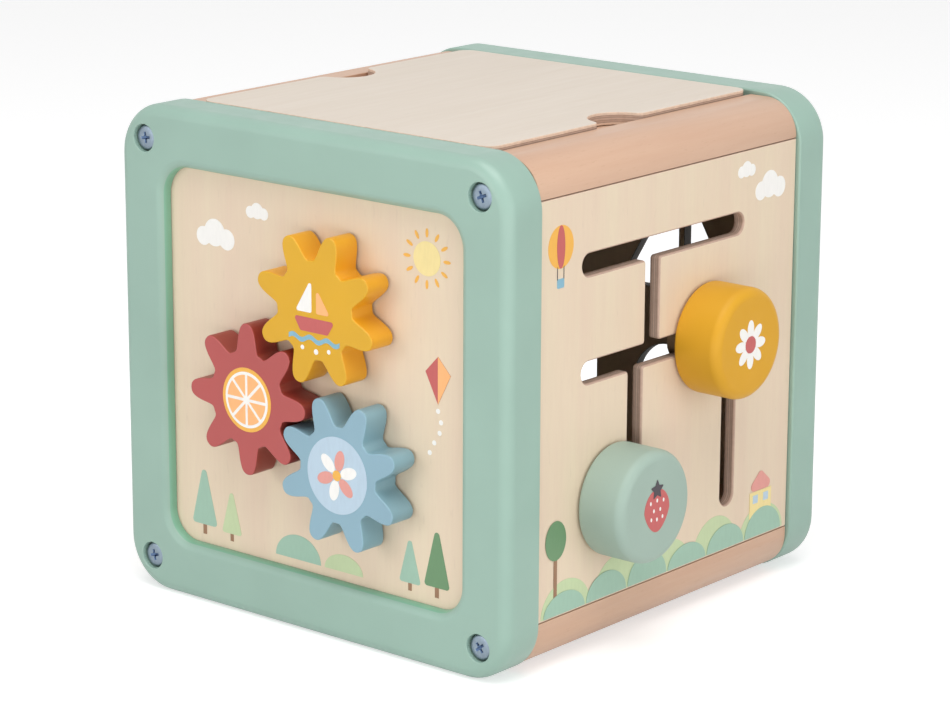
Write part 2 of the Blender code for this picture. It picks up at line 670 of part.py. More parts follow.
def build():
    front_holes, front_bores = screw_hole_cutters("front", 0, FACING_FRONT)
    back_holes, back_bores = screw_hole_cutters("back", CUBE_DEPTH, FACING_BACK)
    add_frame("front_frame", 0, FACING_FRONT, 1, front_holes + front_bores)
    add_frame("back_frame", CUBE_DEPTH, FACING_BACK, -1, back_holes + back_bores)
    screw = screw_mesh()
    add_screws("front", screw, 0, FACING_FRONT, 1)
    add_screws("back", screw, CUBE_DEPTH, FACING_BACK, -1)
    add_rails(front_holes, back_holes)
    gears = gear_places()
    axle_holes = [circle(x, z, AXLE_RADIUS + RUNNING_GAP, DOWEL_STEPS) for x, z, _ in gears.values()]
    add_window_panel("front_panel", 0, FACING_FRONT, 1, axle_holes)
    add_window_panel("back_panel", CUBE_DEPTH, FACING_BACK, -1, sorter_holes())
    add_side_panels()
    add_bottom_panel()
    add_lid()
    for colour, (x, z, tooth_angle) in gears.items():
        add_gear(colour, x, z, tooth_angle)
    add_knob("yellow", SPAN_MIDDLE_Y + REAR_BRANCH - YELLOW_KNOB_FROM_SLOT_BACK, MIDDLE_SLOT_Z)
    add_knob("green", SPAN_MIDDLE_Y + BOTTOM_SLOT_FRONT + GREEN_KNOB_FROM_SLOT_FRONT, BOTTOM_SLOT_Z)


clear_scene()
part_collection = new_collection(COLLECTION_NAME)
cutter_collection = new_collection("cutters")
finishes = {name: make_finish(name) for name in FINISHES}
build()
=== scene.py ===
"""Looks of a wooden activity cube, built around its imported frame.

Units are metres and +Z is up. A flat piece is drawn in its own plane, u to the right and v up as one
looks at its face, and w points out of it. Cube places are given from the middle of the cube's width
(x), from the front frame's face (y) and from the middle of its height (z).
"""
import math

import bmesh
import bpy
from mathutils import Matrix, Vector


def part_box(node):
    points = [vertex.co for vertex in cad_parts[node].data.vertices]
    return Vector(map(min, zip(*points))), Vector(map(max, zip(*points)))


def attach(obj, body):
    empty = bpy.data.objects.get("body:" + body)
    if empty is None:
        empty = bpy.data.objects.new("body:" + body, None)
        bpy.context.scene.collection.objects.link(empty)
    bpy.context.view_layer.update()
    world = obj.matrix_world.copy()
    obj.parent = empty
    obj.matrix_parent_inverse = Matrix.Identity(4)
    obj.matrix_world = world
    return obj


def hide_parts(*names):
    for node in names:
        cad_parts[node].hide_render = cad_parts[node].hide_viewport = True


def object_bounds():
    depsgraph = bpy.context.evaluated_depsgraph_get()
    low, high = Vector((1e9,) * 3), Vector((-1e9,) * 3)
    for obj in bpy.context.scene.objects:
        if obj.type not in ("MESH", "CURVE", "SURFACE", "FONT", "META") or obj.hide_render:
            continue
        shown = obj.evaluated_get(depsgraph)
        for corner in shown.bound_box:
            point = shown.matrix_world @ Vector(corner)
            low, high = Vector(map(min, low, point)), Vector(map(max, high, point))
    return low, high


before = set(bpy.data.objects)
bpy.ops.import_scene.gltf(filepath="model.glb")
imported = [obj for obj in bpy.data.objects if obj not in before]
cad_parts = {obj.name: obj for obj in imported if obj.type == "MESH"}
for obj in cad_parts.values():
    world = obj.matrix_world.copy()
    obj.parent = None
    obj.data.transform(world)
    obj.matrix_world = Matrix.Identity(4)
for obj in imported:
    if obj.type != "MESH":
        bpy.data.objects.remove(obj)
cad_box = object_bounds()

# Camera, from the photograph's perspective
CAMERA_PLACE = (0.82466, -0.99411, 0.43228)
CAMERA_AZIMUTH = math.radians(39.921)
CAMERA_ELEVATION = math.radians(14.756)
CAMERA_ROLL = math.radians(0.226)
CAMERA_LENS = 125.26
SENSOR_WIDTH = 36.0

# Light. Each softbox has its azimuth from the front and its elevation in degrees, its distance, its
# width and height, and its watts
WORLD_LIGHT = 0.34
FLOOR_REACH = 4.0
FLOOR_SHADE = 0.7
FLOOR_GLOW = 0.55
SOFTBOXES = {
    "left_front": (-22, 14, 1.8, 0.9, 0.9, 6.5),
    "right_side": (92, 14, 1.8, 1.3, 0.9, 6.5),
    "low_card": (42, -1, 0.95, 1.7, 0.2, 3.6),
    "overhead": (42, 70, 1.6, 1.2, 1.2, 17.0),
}

# Frames
FRAME_CORNER_RADIUS = 0.021
FRAME_EDGE_ROUNDING = 0.005
FRAME_BACK_ROUNDING = 0.001
FRAME_BAR = 0.0235
WINDOW_CORNER_RADIUS = 0.012
WINDOW_EDGE_ROUNDING = 0.0038
PANEL_RECESS = 0.005
REBATE_LAP = 0.0045

# Screws and their counterbores
SCREW_INSET = 0.0139
BORE_RADIUS = 0.0055
BORE_DEPTH = 0.004
BORE_LIP = 0.0004
HEAD_RADIUS = 0.005
HEAD_HEIGHT = 0.0026
HEAD_DEPTH = 0.0011
HEAD_WALL = 0.001
HEAD_FULLNESS = 4.0
RECESS_SHADE_SHARE = 0.7
RECESS_SHADE_DEPTH = 0.00002
SHANK_RADIUS = 0.002
SHANK_LENGTH = 0.038
SHANK_TIP_RADIUS = 0.0003
SHANK_TIP_LENGTH = 0.003
CROSS_LENGTH = 0.0054
CROSS_WIDTH = 0.0012
CROSS_DEPTH = 0.0015
CROSS_FLARE = 1.1
CROSS_FOOT_LENGTH = 0.45
CROSS_FOOT_WIDTH = 0.7
CROSS_HEART = 0.0022
SCREW_TURNS = {"lower_left": 12, "lower_right": 40, "upper_right": 22, "upper_left": 8}

# Rails
RAIL_ROUNDING = 0.0147
RAIL_EDGE = 0.0003
RAIL_HEIGHT = 0.03
RAIL_TOP_WIDTH = 0.0229
LEDGE_WIDTH = 0.0156
BOTTOM_SEAM_HEIGHT = 0.0183
SEAM_GAP = 0.0003

# Sheets of plywood
PLY_EDGE = 0.0003
SLOT_RIM = 0.0009
SHEET_EDGE_LEAN = math.radians(20.0)
LID_CORNER_RADIUS = 0.006
FINGER_NOTCH_RADIUS = 0.0127
FINGER_NOTCH_OFFSET = 0.0035
NOTCH_MOUTH_RADIUS = 0.004
SORTER_CORNER_RADIUS = 0.002

# Labyrinth slots, as the travel of a stem's centre from the panel's middle
SLOT_HALF_WIDTH = 0.0043
SLOT_CORNER_RADIUS = 0.0015
SLOT_END_SHARE = 0.999
SLOTS_FRONT = -0.0514
TOP_SLOT_BACK = 0.0425
TOP_SLOT_Z = 0.0542
MIDDLE_SLOT_Z = 0.0126
BOTTOM_SLOT_FRONT = -0.0491
BOTTOM_SLOT_Z = -0.0398
UPPER_BRANCH = -0.0123
LOWER_BRANCH = -0.0224
REAR_BRANCH = 0.0394
REAR_BRANCH_FOOT_Z = -0.0563

# Shape-sorter holes in the back panel
TENT_HOLE_X = 0.0332
TENT_HOLE_BASE_Z = 0.008
TENT_HOLE_SIDE = 0.06
TENT_BAR_OFFSET = 0.002
TENT_BAR_WIDTH = 0.003
ROUND_HOLE_X = 0.0295
ROUND_HOLE_Z = -0.0339
ROUND_HOLE_RADIUS = 0.018
SQUARE_HOLE_X = -0.0267
SQUARE_HOLE_SIDE = 0.036

# Gears and knobs
GEAR_TEETH = 8
GEAR_TIP_RADIUS = 0.0304
GEAR_ROOT_RADIUS = 0.0193
TOOTH_POINTEDNESS = 0.08
TOOTH_FULLNESS = 0.11
TOOTH_ANGLES = {"red": 0.0, "yellow": math.radians(28.0), "blue": math.radians(20.2)}
GEAR_EDGE_ROUNDING = 0.0005
GEAR_SIDE_LEAN = math.radians(60.0)
KNOB_EDGE_ROUNDING = 0.004
KNOB_BACK_ROUNDING = 0.0018

# Prints
PRINT_THICKNESS = 0.00008
PRINT_GAP = 0.00002

# Smoothness
CORNER_STEPS = 16
ROUNDING_STEPS = 8
EDGE_STEPS = 3
RIM_STEPS = 5
SMALL_ARC_STEPS = 6
SLOT_STEPS = 10
CROWN_STEPS = 14
HILL_STEPS = 24
TOOTH_STEPS = 28
NOTCH_STEPS = 40
SCREW_STEPS = 64
ROUND_STEPS = 96
CLOUD_STEPS = 120
SHARP_ANGLE = math.radians(35.0)
ALIGNED = 0.99995
LEAST_COSINE = 0.3

# Colours as sRGB bytes
SAGE = (149, 180, 166)
# Deeper sage for the walls round the frames' windows: painted shade in the recess
SAGE_WINDOW_SHADE = (127, 179, 152)
PLY_PALE = (228, 211, 184)
PLY_WARM = (226, 203, 180)
LID_PALE = (223, 211, 197)
LID_WARM = (218, 205, 190)
PLY_EDGE_LIGHT = (236, 210, 188)
# The right panel's outer plies, darker than the same veneer on the other sheets: painted shade at the
# slot rims
PLY_EDGE_SHADED = (198, 168, 150)
PLY_EDGE_MIDDLE = (200, 172, 154)
PLY_EDGE_CORE = (210, 184, 166)
PLY_EDGE_GLUE = (136, 108, 92)
# Share of its colour that every ply of the back panel's cut edges keeps: painted shade
BACK_EDGE_PAINTED_SHADE = 0.25
BEECH_PALE = (210, 175, 149)
BEECH_WARM = (202, 163, 137)
BEECH_FLECK = (170, 126, 98)
# Darker than birch dowel's own tone: painted shade for the stems and axles that sit inside the cube
DOWEL_SHADED = (158, 128, 96)
GEAR_FACES = {"red": (178, 79, 76), "yellow": (221, 168, 22), "blue": (139, 174, 190)}
# Each gear's sides have their own copy of its paint: darker for the red and the blue, which is
# painted shade, and more orange for the yellow
GEAR_SIDES_SHADED = {"red": (148, 58, 47), "yellow": (230, 163, 30), "blue": (131, 168, 181)}
KNOB_COLOURS = {"yellow": (218, 162, 42), "green": (163, 184, 172)}
ZINC = (136, 150, 163)
# Darker zinc for the cross recess in each screw head: painted shade
ZINC_RECESS_SHADE = (84, 104, 134)
INKS = {
    "white": (246, 244, 240),
    "sage": (158, 192, 172),
    "pale_green": (196, 212, 168),
    "deep_green": (104, 142, 102),
    "brick": (194, 94, 92),
    "peach": (250, 184, 122),
    "straw": (242, 222, 156),
    "amber": (240, 180, 78),
    "sky": (132, 180, 200),
    "pale_blue": (186, 207, 223),
    "rose": (226, 156, 146),
    "charcoal": (62, 54, 62),
    "bark": (150, 112, 84),
}

# Where each of a sheet's five plies ends, as a share of the thickness
PLY_ENDS = (0.22, 0.4, 0.6, 0.76, 1.0)
GLUE_LINE = 0.03
PAINT_PEEL = 0.00002

# Where the frame says the cube is
front_low, front_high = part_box("front_frame")
back_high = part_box("back_frame")[1]
HALF_SIDE = (front_high.x - front_low.x) / 2
MIDDLE_X = (front_high.x + front_low.x) / 2
MIDDLE_Z = (front_high.z + front_low.z) / 2
FRONT_Y = front_low.y
CUBE_DEPTH = back_high.y - front_low.y
FRAME_THICKNESS = front_high.y - front_low.y
WINDOW_HALF = HALF_SIDE - FRAME_BAR
SCREW_PLACE = HALF_SIDE - SCREW_INSET

FACING_FRONT = Matrix(((1, 0, 0), (0, 0, -1), (0, 1, 0))).to_4x4()
FACING_BACK = Matrix(((-1, 0, 0), (0, 0, 1), (0, 1, 0))).to_4x4()
FACING_RIGHT = Matrix(((0, 0, 1), (1, 0, 0), (0, 1, 0))).to_4x4()
FACING_LEFT = Matrix(((0, 0, -1), (-1, 0, 0), (0, 1, 0))).to_4x4()
FACING_UP = Matrix.Identity(4)


def linear(byte):
    value = byte / 255
    return value / 12.92 if value <= 0.04045 else ((value + 0.055) / 1.055) ** 2.4


def rgba(colour):
    return [linear(byte) for byte in colour] + [1.0]


def darker(colour, share):
    return rgba([share * byte for byte in colour])


# Shader nodes
def add(tree, kind, inputs=None, **settings):
    """Add a shader node. An input is given by name or number, as a value or as a socket to link."""
    node = tree.nodes.new("ShaderNode" + kind)
    for name, value in settings.items():
        setattr(node, name, value)
    for name, value in (inputs or {}).items():
        if isinstance(value, bpy.types.NodeSocket):
            tree.links.new(value, node.inputs[name])
        else:
            node.inputs[name].default_value = value
    return node


def new_material(name, roughness, metallic=0.0):
    material = bpy.data.materials.new(name)
    material.use_nodes = True
    tree = material.node_tree
    shader = tree.nodes["Principled BSDF"]
    shader.inputs["Roughness"].default_value = roughness
    shader.inputs["Metallic"].default_value = metallic
    return material, tree, shader


def object_coordinates(tree, scale=(1, 1, 1)):
    coordinates = add(tree, "TexCoord").outputs["Object"]
    return add(tree, "Mapping", {"Vector": coordinates, "Scale": scale}).outputs[0]


def noise(tree, vector, scale, detail=2.0, roughness=0.5):
    inputs = {"Vector": vector, "Scale": scale, "Detail": detail, "Roughness": roughness}
    return add(tree, "TexNoise", inputs).outputs[0]


def remap(tree, value, start, end, low=0.0, high=1.0):
    inputs = {"Value": value, "From Min": start, "From Max": end, "To Min": low, "To Max": high}
    return add(tree, "MapRange", inputs).outputs[0]


def mix(tree, factor, first, second):
    return add(tree, "Mix", {0: factor, 6: first, 7: second}, data_type="RGBA").outputs[2]


def link(tree, shader, colour, gloss=None):
    """Link a shader's colour, and its roughness where that varies."""
    tree.links.new(colour, shader.inputs["Base Color"])
    if gloss:
        tree.links.new(gloss, shader.inputs["Roughness"])


def bump(tree, shader, height, distance, strength):
    node = add(tree, "Bump", {"Height": height, "Distance": distance, "Strength": strength})
    tree.links.new(node.outputs[0], shader.inputs["Normal"])


def paint(name, colour, roughness, sheen=0.5):
    """Satin paint on wood: a faint mottle, a roller's fine peel and a gloss that varies a little."""
    material, tree, shader = new_material(name, roughness)
    shader.inputs["Specular IOR Level"].default_value = sheen
    even = object_coordinates(tree)
    shade = [0.94 * value for value in rgba(colour)[:3]] + [1.0]
    mottle = remap(tree, noise(tree, even, 22, 3), 0.35, 0.65)
    gloss = remap(tree, noise(tree, even, 120, 2), 0.3, 0.7, roughness - 0.04, roughness + 0.05)
    link(tree, shader, mix(tree, mottle, shade, rgba(colour)), gloss)
    bump(tree, shader, noise(tree, even, 650, 3), PAINT_PEEL, 0.6)
    return material


def grain_scale(grain, stretch):
    return [1 / stretch if axis == grain else 1.0 for axis in range(3)]


def plywood_face(name, pale, warm, grain):
    """A birch face veneer: broad soft figure, fine fibres and sparse short pores along the grain."""
    material, tree, shader = new_material(name, 0.5)
    long = object_coordinates(tree, grain_scale(grain, 14))
    short = object_coordinates(tree, grain_scale(grain, 5))
    figure = remap(tree, noise(tree, long, 70, 4, 0.6), 0.3, 0.7)
    colour = mix(tree, figure, rgba(warm), rgba(pale))
    fibres = remap(tree, noise(tree, long, 900, 3), 0.3, 0.75, 0.0, 0.11)
    colour = mix(tree, fibres, colour, darker(warm, 0.9))
    pores = remap(tree, noise(tree, short, 700, 1), 0.7, 0.76, 0.0, 0.07)
    colour = mix(tree, pores, colour, darker(warm, 0.72))
    link(tree, shader, colour, remap(tree, noise(tree, long, 300, 2), 0.3, 0.7, 0.44, 0.56))
    bump(tree, shader, noise(tree, long, 900, 3), 0.00003, 0.5)
    return material


def plywood_edge(name, axis, low, high, outer, shade):
    """The cut edge of a plywood sheet, its plies and glue lines stacked along an axis, all darkened
    by the shade share, which is painted shade where it is below 1.
    """
    material, tree, shader = new_material(name, 0.7)
    plies = [darker(colour, shade)
             for colour in (outer, PLY_EDGE_MIDDLE, PLY_EDGE_CORE, PLY_EDGE_MIDDLE, outer)]
    glue = darker(PLY_EDGE_GLUE, shade)
    coordinates = object_coordinates(tree)
    depth = add(tree, "SeparateXYZ", {0: coordinates}).outputs[axis]
    wobble = remap(tree, noise(tree, coordinates, 90, 2), 0, 1, -0.02, 0.02)
    depth = remap(tree, depth, low, high)
    depth = add(tree, "Math", {0: depth, 1: wobble}, operation="ADD").outputs[0]
    ramp = add(tree, "ValToRGB", {0: depth})
    stops = ramp.color_ramp.elements
    stops.remove(stops[1])
    stops[0].color = plies[0]
    start = 0.0
    for end, ply in zip(PLY_ENDS, plies):
        if start:
            stops.new(start).color = glue
            stops.new(start + GLUE_LINE).color = ply
        stops.new(end - GLUE_LINE).color = ply
        start = end
    streaks = remap(tree, noise(tree, coordinates, 420, 4, 0.65), 0.3, 0.7, 0.0, 0.25)
    link(tree, shader, mix(tree, streaks, ramp.outputs[0], glue))
    bump(tree, shader, noise(tree, coordinates, 700, 3), 0.00008, 0.6)
    return material


def beech(name, grain):
    """Steamed beech: long soft bands, fine streaks and the short dark flecks that mark this wood."""
    material, tree, shader = new_material(name, 0.48)
    long = object_coordinates(tree, grain_scale(grain, 16))
    short = object_coordinates(tree, grain_scale(grain, 6))
    bands = remap(tree, noise(tree, long, 130, 4, 0.6), 0.3, 0.7)
    colour = mix(tree, bands, rgba(BEECH_WARM), rgba(BEECH_PALE))
    streaks = remap(tree, noise(tree, long, 1100, 3, 0.6), 0.35, 0.75, 0.0, 0.3)
    colour = mix(tree, streaks, colour, rgba(BEECH_WARM))
    flecks = remap(tree, noise(tree, short, 1300, 1), 0.66, 0.72, 0.0, 0.13)
    colour = mix(tree, flecks, colour, rgba(BEECH_FLECK))
    link(tree, shader, colour, remap(tree, noise(tree, long, 400, 2), 0.3, 0.7, 0.36, 0.46))
    bump(tree, shader, noise(tree, long, 1100, 3), 0.00004, 0.5)
    return material


def dowel_wood(name):
    """Birch dowel, darkened as painted shade: a fine tone that varies and a faint roughness."""
    material, tree, shader = new_material(name, 0.6)
    even = object_coordinates(tree)
    tone = remap(tree, noise(tree, even, 260, 4, 0.6), 0.3, 0.7)
    link(tree, shader, mix(tree, tone, darker(DOWEL_SHADED, 0.86), rgba(DOWEL_SHADED)))
    bump(tree, shader, noise(tree, even, 900, 3), 0.00005, 0.5)
    return material


def zinc(name, colour):
    """Bright zinc plating with a bluish cast, faintly brushed and a little worn."""
    material, tree, shader = new_material(name, 0.4, 1.0)
    even = object_coordinates(tree)
    cast = remap(tree, noise(tree, even, 400, 3), 0.3, 0.7)
    gloss = remap(tree, noise(tree, even, 2500, 2), 0.3, 0.7, 0.36, 0.48)
    link(tree, shader, mix(tree, cast, darker(colour, 0.9), rgba(colour)), gloss)
    bump(tree, shader, noise(tree, even, 3000, 2), 0.00001, 0.3)
    return material


def ink(name, colour):
    """Printed ink, thin enough that the ground's texture shows through a little."""
    material, tree, shader = new_material("ink_" + name, 0.5)
    even = object_coordinates(tree, (1, 1, 0.25))
    cover = remap(tree, noise(tree, even, 800, 3), 0.35, 0.7, 0.0, 0.5)
    shade = [0.92 * value for value in rgba(colour)[:3]] + [1.0]
    link(tree, shader, mix(tree, cover, rgba(colour), shade))
    bump(tree, shader, noise(tree, even, 900, 2), 0.00002, 0.4)
    return material


# Outlines
def arc(centre_u, centre_v, radius, start, end, steps):
    """Points along an arc from one angle to another, both ends included."""
    points = []
    for i in range(steps + 1):
        angle = start + (end - start) * i / steps
        points.append((centre_u + radius * math.cos(angle), centre_v + radius * math.sin(angle)))
    return points


def rounded(corners, radii, steps=CORNER_STEPS):
    """An anticlockwise outline, each corner rounded by its own radius, whether it juts out or in."""
    outline = []
    if not isinstance(radii, (list, tuple)):
        radii = [radii] * len(corners)
    for i, radius in enumerate(radii):
        corner = Vector(corners[i])
        before = (Vector(corners[i - 1]) - corner).normalized()
        after = (Vector(corners[(i + 1) % len(corners)]) - corner).normalized()
        if radius == 0:
            outline.append(tuple(corner))
            continue
        half_angle = before.angle(after) / 2
        centre = corner + (before + after).normalized() * radius / math.sin(half_angle)
        start = corner + before * radius / math.tan(half_angle) - centre
        turn = math.pi - 2 * half_angle
        if after.cross(before) < 0:
            turn = -turn
        first = math.atan2(start.y, start.x)
        outline += arc(centre.x, centre.y, radius, first, first + turn, steps)
    return outline


def rectangle(width, height, middle_u=0.0, middle_v=0.0):
    u, v = width / 2, height / 2
    return [(middle_u - u, middle_v - v), (middle_u + u, middle_v - v),
            (middle_u + u, middle_v + v), (middle_u - u, middle_v + v)]


def ellipse(centre_u, centre_v, radius_u, radius_v, turn=0.0, steps=32):
    points = []
    for i in range(steps):
        angle = 2 * math.pi * i / steps
        u, v = radius_u * math.cos(angle), radius_v * math.sin(angle)
        points.append((centre_u + u * math.cos(turn) - v * math.sin(turn),
                       centre_v + u * math.sin(turn) + v * math.cos(turn)))
    return points


def circle(centre_u, centre_v, radius, steps=ROUND_STEPS):
    return ellipse(centre_u, centre_v, radius, radius, 0.0, steps)


def inset(outline, distance):
    """An outline moved to its left as one goes along it, which is into the material."""
    moved = []
    for i, point in enumerate(outline):
        here = Vector(point)
        before = (here - Vector(outline[i - 1])).normalized()
        after = (Vector(outline[(i + 1) % len(outline)]) - here).normalized()
        along = (before + after).normalized()
        stretch = 1 / max(LEAST_COSINE, along.dot(after))
        moved.append((here.x - along.y * distance * stretch, here.y + along.x * distance * stretch))
    return moved


# Meshes
def ring(work, outline, height):
    return [work.verts.new((u, v, height)) for u, v in outline]


def band(work, lower, upper):
    """Faces between two rings of as many points, facing right as one goes along them."""
    for i in range(len(lower)):
        work.faces.new((lower[i - 1], lower[i], upper[i], upper[i - 1]))


def skin(work, rings):
    """Bands between each ring and the next."""
    for lower, upper in zip(rings, rings[1:]):
        band(work, lower, upper)


def cap(work, rings):
    """Fill what lies between rings in one plane."""
    edges = []
    for loop in rings:
        for i in range(len(loop)):
            edge = work.edges.get((loop[i - 1], loop[i]))
            edges.append(edge or work.edges.new((loop[i - 1], loop[i])))
    bmesh.ops.triangle_fill(work, use_beauty=True, use_dissolve=False, edges=edges)


def set_normals(mesh):
    """Shade smooth, but let every face that is square to an axis keep its own normal to its rim."""
    mesh.shade_smooth()
    mesh.set_sharp_from_angle(angle=SHARP_ANGLE)
    normals = [corner.vector.copy() for corner in mesh.corner_normals]
    flat = {}
    for polygon in mesh.polygons:
        if max(abs(value) for value in polygon.normal) > ALIGNED:
            for vertex in polygon.vertices:
                flat.setdefault(vertex, []).append(polygon.normal.copy())
    least = math.cos(SHARP_ANGLE)
    for polygon in mesh.polygons:
        for corner, vertex in zip(polygon.loop_indices, polygon.vertices):
            for normal in flat.get(vertex, ()):
                if normal.dot(polygon.normal) > least:
                    normals[corner] = normal
    mesh.normals_split_custom_set(normals)


def finish_mesh(work, name, matrix):
    """Turn the work into a closed mesh in the cube's place, its faces pointing out."""
    bmesh.ops.remove_doubles(work, verts=work.verts, dist=0.0000005)
    bmesh.ops.recalc_face_normals(work, faces=work.faces)
    mesh = bpy.data.meshes.new(name)
    work.to_mesh(mesh)
    work.free()
    mesh.transform(matrix)
    set_normals(mesh)
    return mesh


def rounding_profile(thickness, rounding, steps):
    """Inset and height of each ring, from the bottom face's rim to the top face's."""
    half = thickness / 2
    quarter = math.pi / 2
    profile = [(rounding * (1 - math.cos(angle)), -half + rounding * (1 + math.sin(angle)))
               for angle in (-quarter + quarter * i / steps for i in range(steps + 1))]
    return profile + [(depth, -height) for depth, height in reversed(profile)]


def slab(name, outlines, thickness, roundings, matrix, steps=EDGE_STEPS):
    """A sheet whose outlines have each their own edge rounding. Holes are clockwise."""
    work = bmesh.new()
    lowest, highest = [], []
    for outline, rounding in zip(outlines, roundings):
        rings = [ring(work, inset(outline, depth), height)
                 for depth, height in rounding_profile(thickness, rounding, steps)]
        skin(work, rings)
        lowest.append(rings[0])
        highest.append(rings[-1])
    cap(work, lowest)
    cap(work, highest)
    return finish_mesh(work, name, matrix)


def turned(name, profile, matrix, steps=ROUND_STEPS):
    """A solid turned about w from (radius, height) points, the first and last of them near w."""
    work = bmesh.new()
    rings = [ring(work, circle(0, 0, radius, steps), height) for radius, height in profile]
    skin(work, rings)
    work.faces.new(reversed(rings[0]))
    work.faces.new(rings[-1])
    return finish_mesh(work, name, matrix)


def add_object(name, data):
    made = bpy.data.objects.new(name, data)
    bpy.context.scene.collection.objects.link(made)
    return made


def add_piece(name, mesh, body, materials, nodes=()):
    piece = add_object(name, mesh)
    for material in materials:
        mesh.materials.append(material)
    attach(piece, body)
    if nodes:
        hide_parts(*nodes)


def paint_sides(mesh, axis, least_lean):
    """Give the second material to a sheet's sides, which lean from its axis more than its faces."""
    for polygon in mesh.polygons:
        if abs(polygon.normal[axis]) < math.cos(least_lean):
            polygon.material_index = 1


def place(x, y, z, facing):
    return Matrix.Translation((MIDDLE_X + x, FRONT_Y + y, MIDDLE_Z + z)) @ facing


def box_middle(node):
    low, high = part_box(node)
    return (low + high) / 2


def box_size(node):
    low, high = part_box(node)
    return high - low


# Frames and screws
def frame_rings():
    """Half size, corner radius and height of each ring round a frame's section, from its face out."""
    quarter = math.pi / 2
    outer = []
    for rounding, middle, start in ((FRAME_EDGE_ROUNDING, -FRAME_EDGE_ROUNDING, quarter),
                                    (FRAME_BACK_ROUNDING, FRAME_BACK_ROUNDING - FRAME_THICKNESS, 0)):
        for depth, height in arc(HALF_SIDE - rounding, middle, rounding, start, start - quarter,
                                 ROUNDING_STEPS):
            outer.append((depth, FRAME_CORNER_RADIUS - HALF_SIDE + depth, height))
    inner = [(WINDOW_HALF + WINDOW_EDGE_ROUNDING + depth, WINDOW_CORNER_RADIUS + WINDOW_EDGE_ROUNDING
              + depth, height - WINDOW_EDGE_ROUNDING)
             for depth, height in arc(0, 0, WINDOW_EDGE_ROUNDING, quarter, math.pi, ROUNDING_STEPS)]
    rebate = WINDOW_HALF + REBATE_LAP
    inner += [(WINDOW_HALF, WINDOW_CORNER_RADIUS, -PANEL_RECESS),
              (rebate, WINDOW_CORNER_RADIUS, -PANEL_RECESS),
              (rebate, WINDOW_CORNER_RADIUS, -FRAME_THICKNESS)]
    return outer, inner


def square_ring(work, half, corner_radius, height):
    return ring(work, rounded(rectangle(2 * half, 2 * half), corner_radius), height)


def frame_mesh(name, matrix):
    work = bmesh.new()
    outer, inner = [[square_ring(work, *sizes) for sizes in side] for side in frame_rings()]
    skin(work, outer)
    skin(work, inner)
    band(work, outer[-1], inner[-1])
    lips = []
    for u in (-SCREW_PLACE, SCREW_PLACE):
        for v in (-SCREW_PLACE, SCREW_PLACE):
            lip = arc(BORE_RADIUS + BORE_LIP, -BORE_LIP, BORE_LIP, math.pi / 2, math.pi, EDGE_STEPS)
            rings = [ring(work, circle(u, v, radius), height) for radius, height in lip]
            rings.append(ring(work, circle(u, v, BORE_RADIUS), -BORE_DEPTH))
            skin(work, rings)
            work.faces.new(rings[-1])
            lips.append(rings[0])
    cap(work, [outer[0], inner[0]] + lips)
    return finish_mesh(work, name, matrix)


def is_window_wall(point):
    """Whether a point of a frame's surface lies on the wall round its window, under the rounding,
    where the painted shade goes.
    """
    reach = max(abs(point.x - MIDDLE_X), abs(point.z - MIDDLE_Z))
    depth = min(point.y - FRONT_Y, FRONT_Y + CUBE_DEPTH - point.y)
    return reach < WINDOW_HALF + PANEL_RECESS and WINDOW_EDGE_ROUNDING / 2 < depth < PANEL_RECESS


def add_frames():
    for name, y, facing in (("front_frame", 0, FACING_FRONT),
                            ("back_frame", CUBE_DEPTH, FACING_BACK)):
        mesh = frame_mesh(name + "_painted", place(0, y, 0, facing))
        # The wall round each window takes the deeper sage: painted shade
        for polygon in mesh.polygons:
            if is_window_wall(polygon.center):
                polygon.material_index = 1
        add_piece(name + "_painted", mesh, "cube_body",
                  [all_materials["sage"], all_materials["sage_window_shade"]], [name])


def cross_cutter(name, turn):
    """One arm of a cross recess, narrower and shorter at its foot, or the square in its middle."""
    work = bmesh.new()
    length, width = CROSS_LENGTH, CROSS_WIDTH
    if turn % 90:
        length = width = CROSS_HEART
    top = ring(work, rectangle(length * CROSS_FLARE, width * CROSS_FLARE), HEAD_WALL)
    foot = ring(work, rectangle(length * CROSS_FOOT_LENGTH, width * CROSS_FOOT_WIDTH), -CROSS_DEPTH)
    band(work, foot, top)
    work.faces.new(reversed(foot))
    work.faces.new(top)
    return finish_mesh(work, name, Matrix.Rotation(math.radians(turn), 4, "Z"))


def crown_height(share):
    """Height of a screw head's crown at a share of its radius, 0 in the middle."""
    lift = (1 - share ** HEAD_FULLNESS) ** (1 / HEAD_FULLNESS)
    return (HEAD_HEIGHT - HEAD_WALL) * (lift - 1)


def screw_head_profile():
    """A pan head over a plain shank, its crown at height 0, from the shank's end up."""
    under = -HEAD_HEIGHT
    tip = under - SHANK_LENGTH
    shares = [math.sin(math.pi / 2 * (1 - i / CROWN_STEPS)) for i in range(CROWN_STEPS)]
    crown = [(HEAD_RADIUS * share, crown_height(share)) for share in shares]
    return [(SHANK_TIP_RADIUS, tip), (SHANK_RADIUS, tip + SHANK_TIP_LENGTH),
            (SHANK_RADIUS, under), (HEAD_RADIUS, under)] + crown


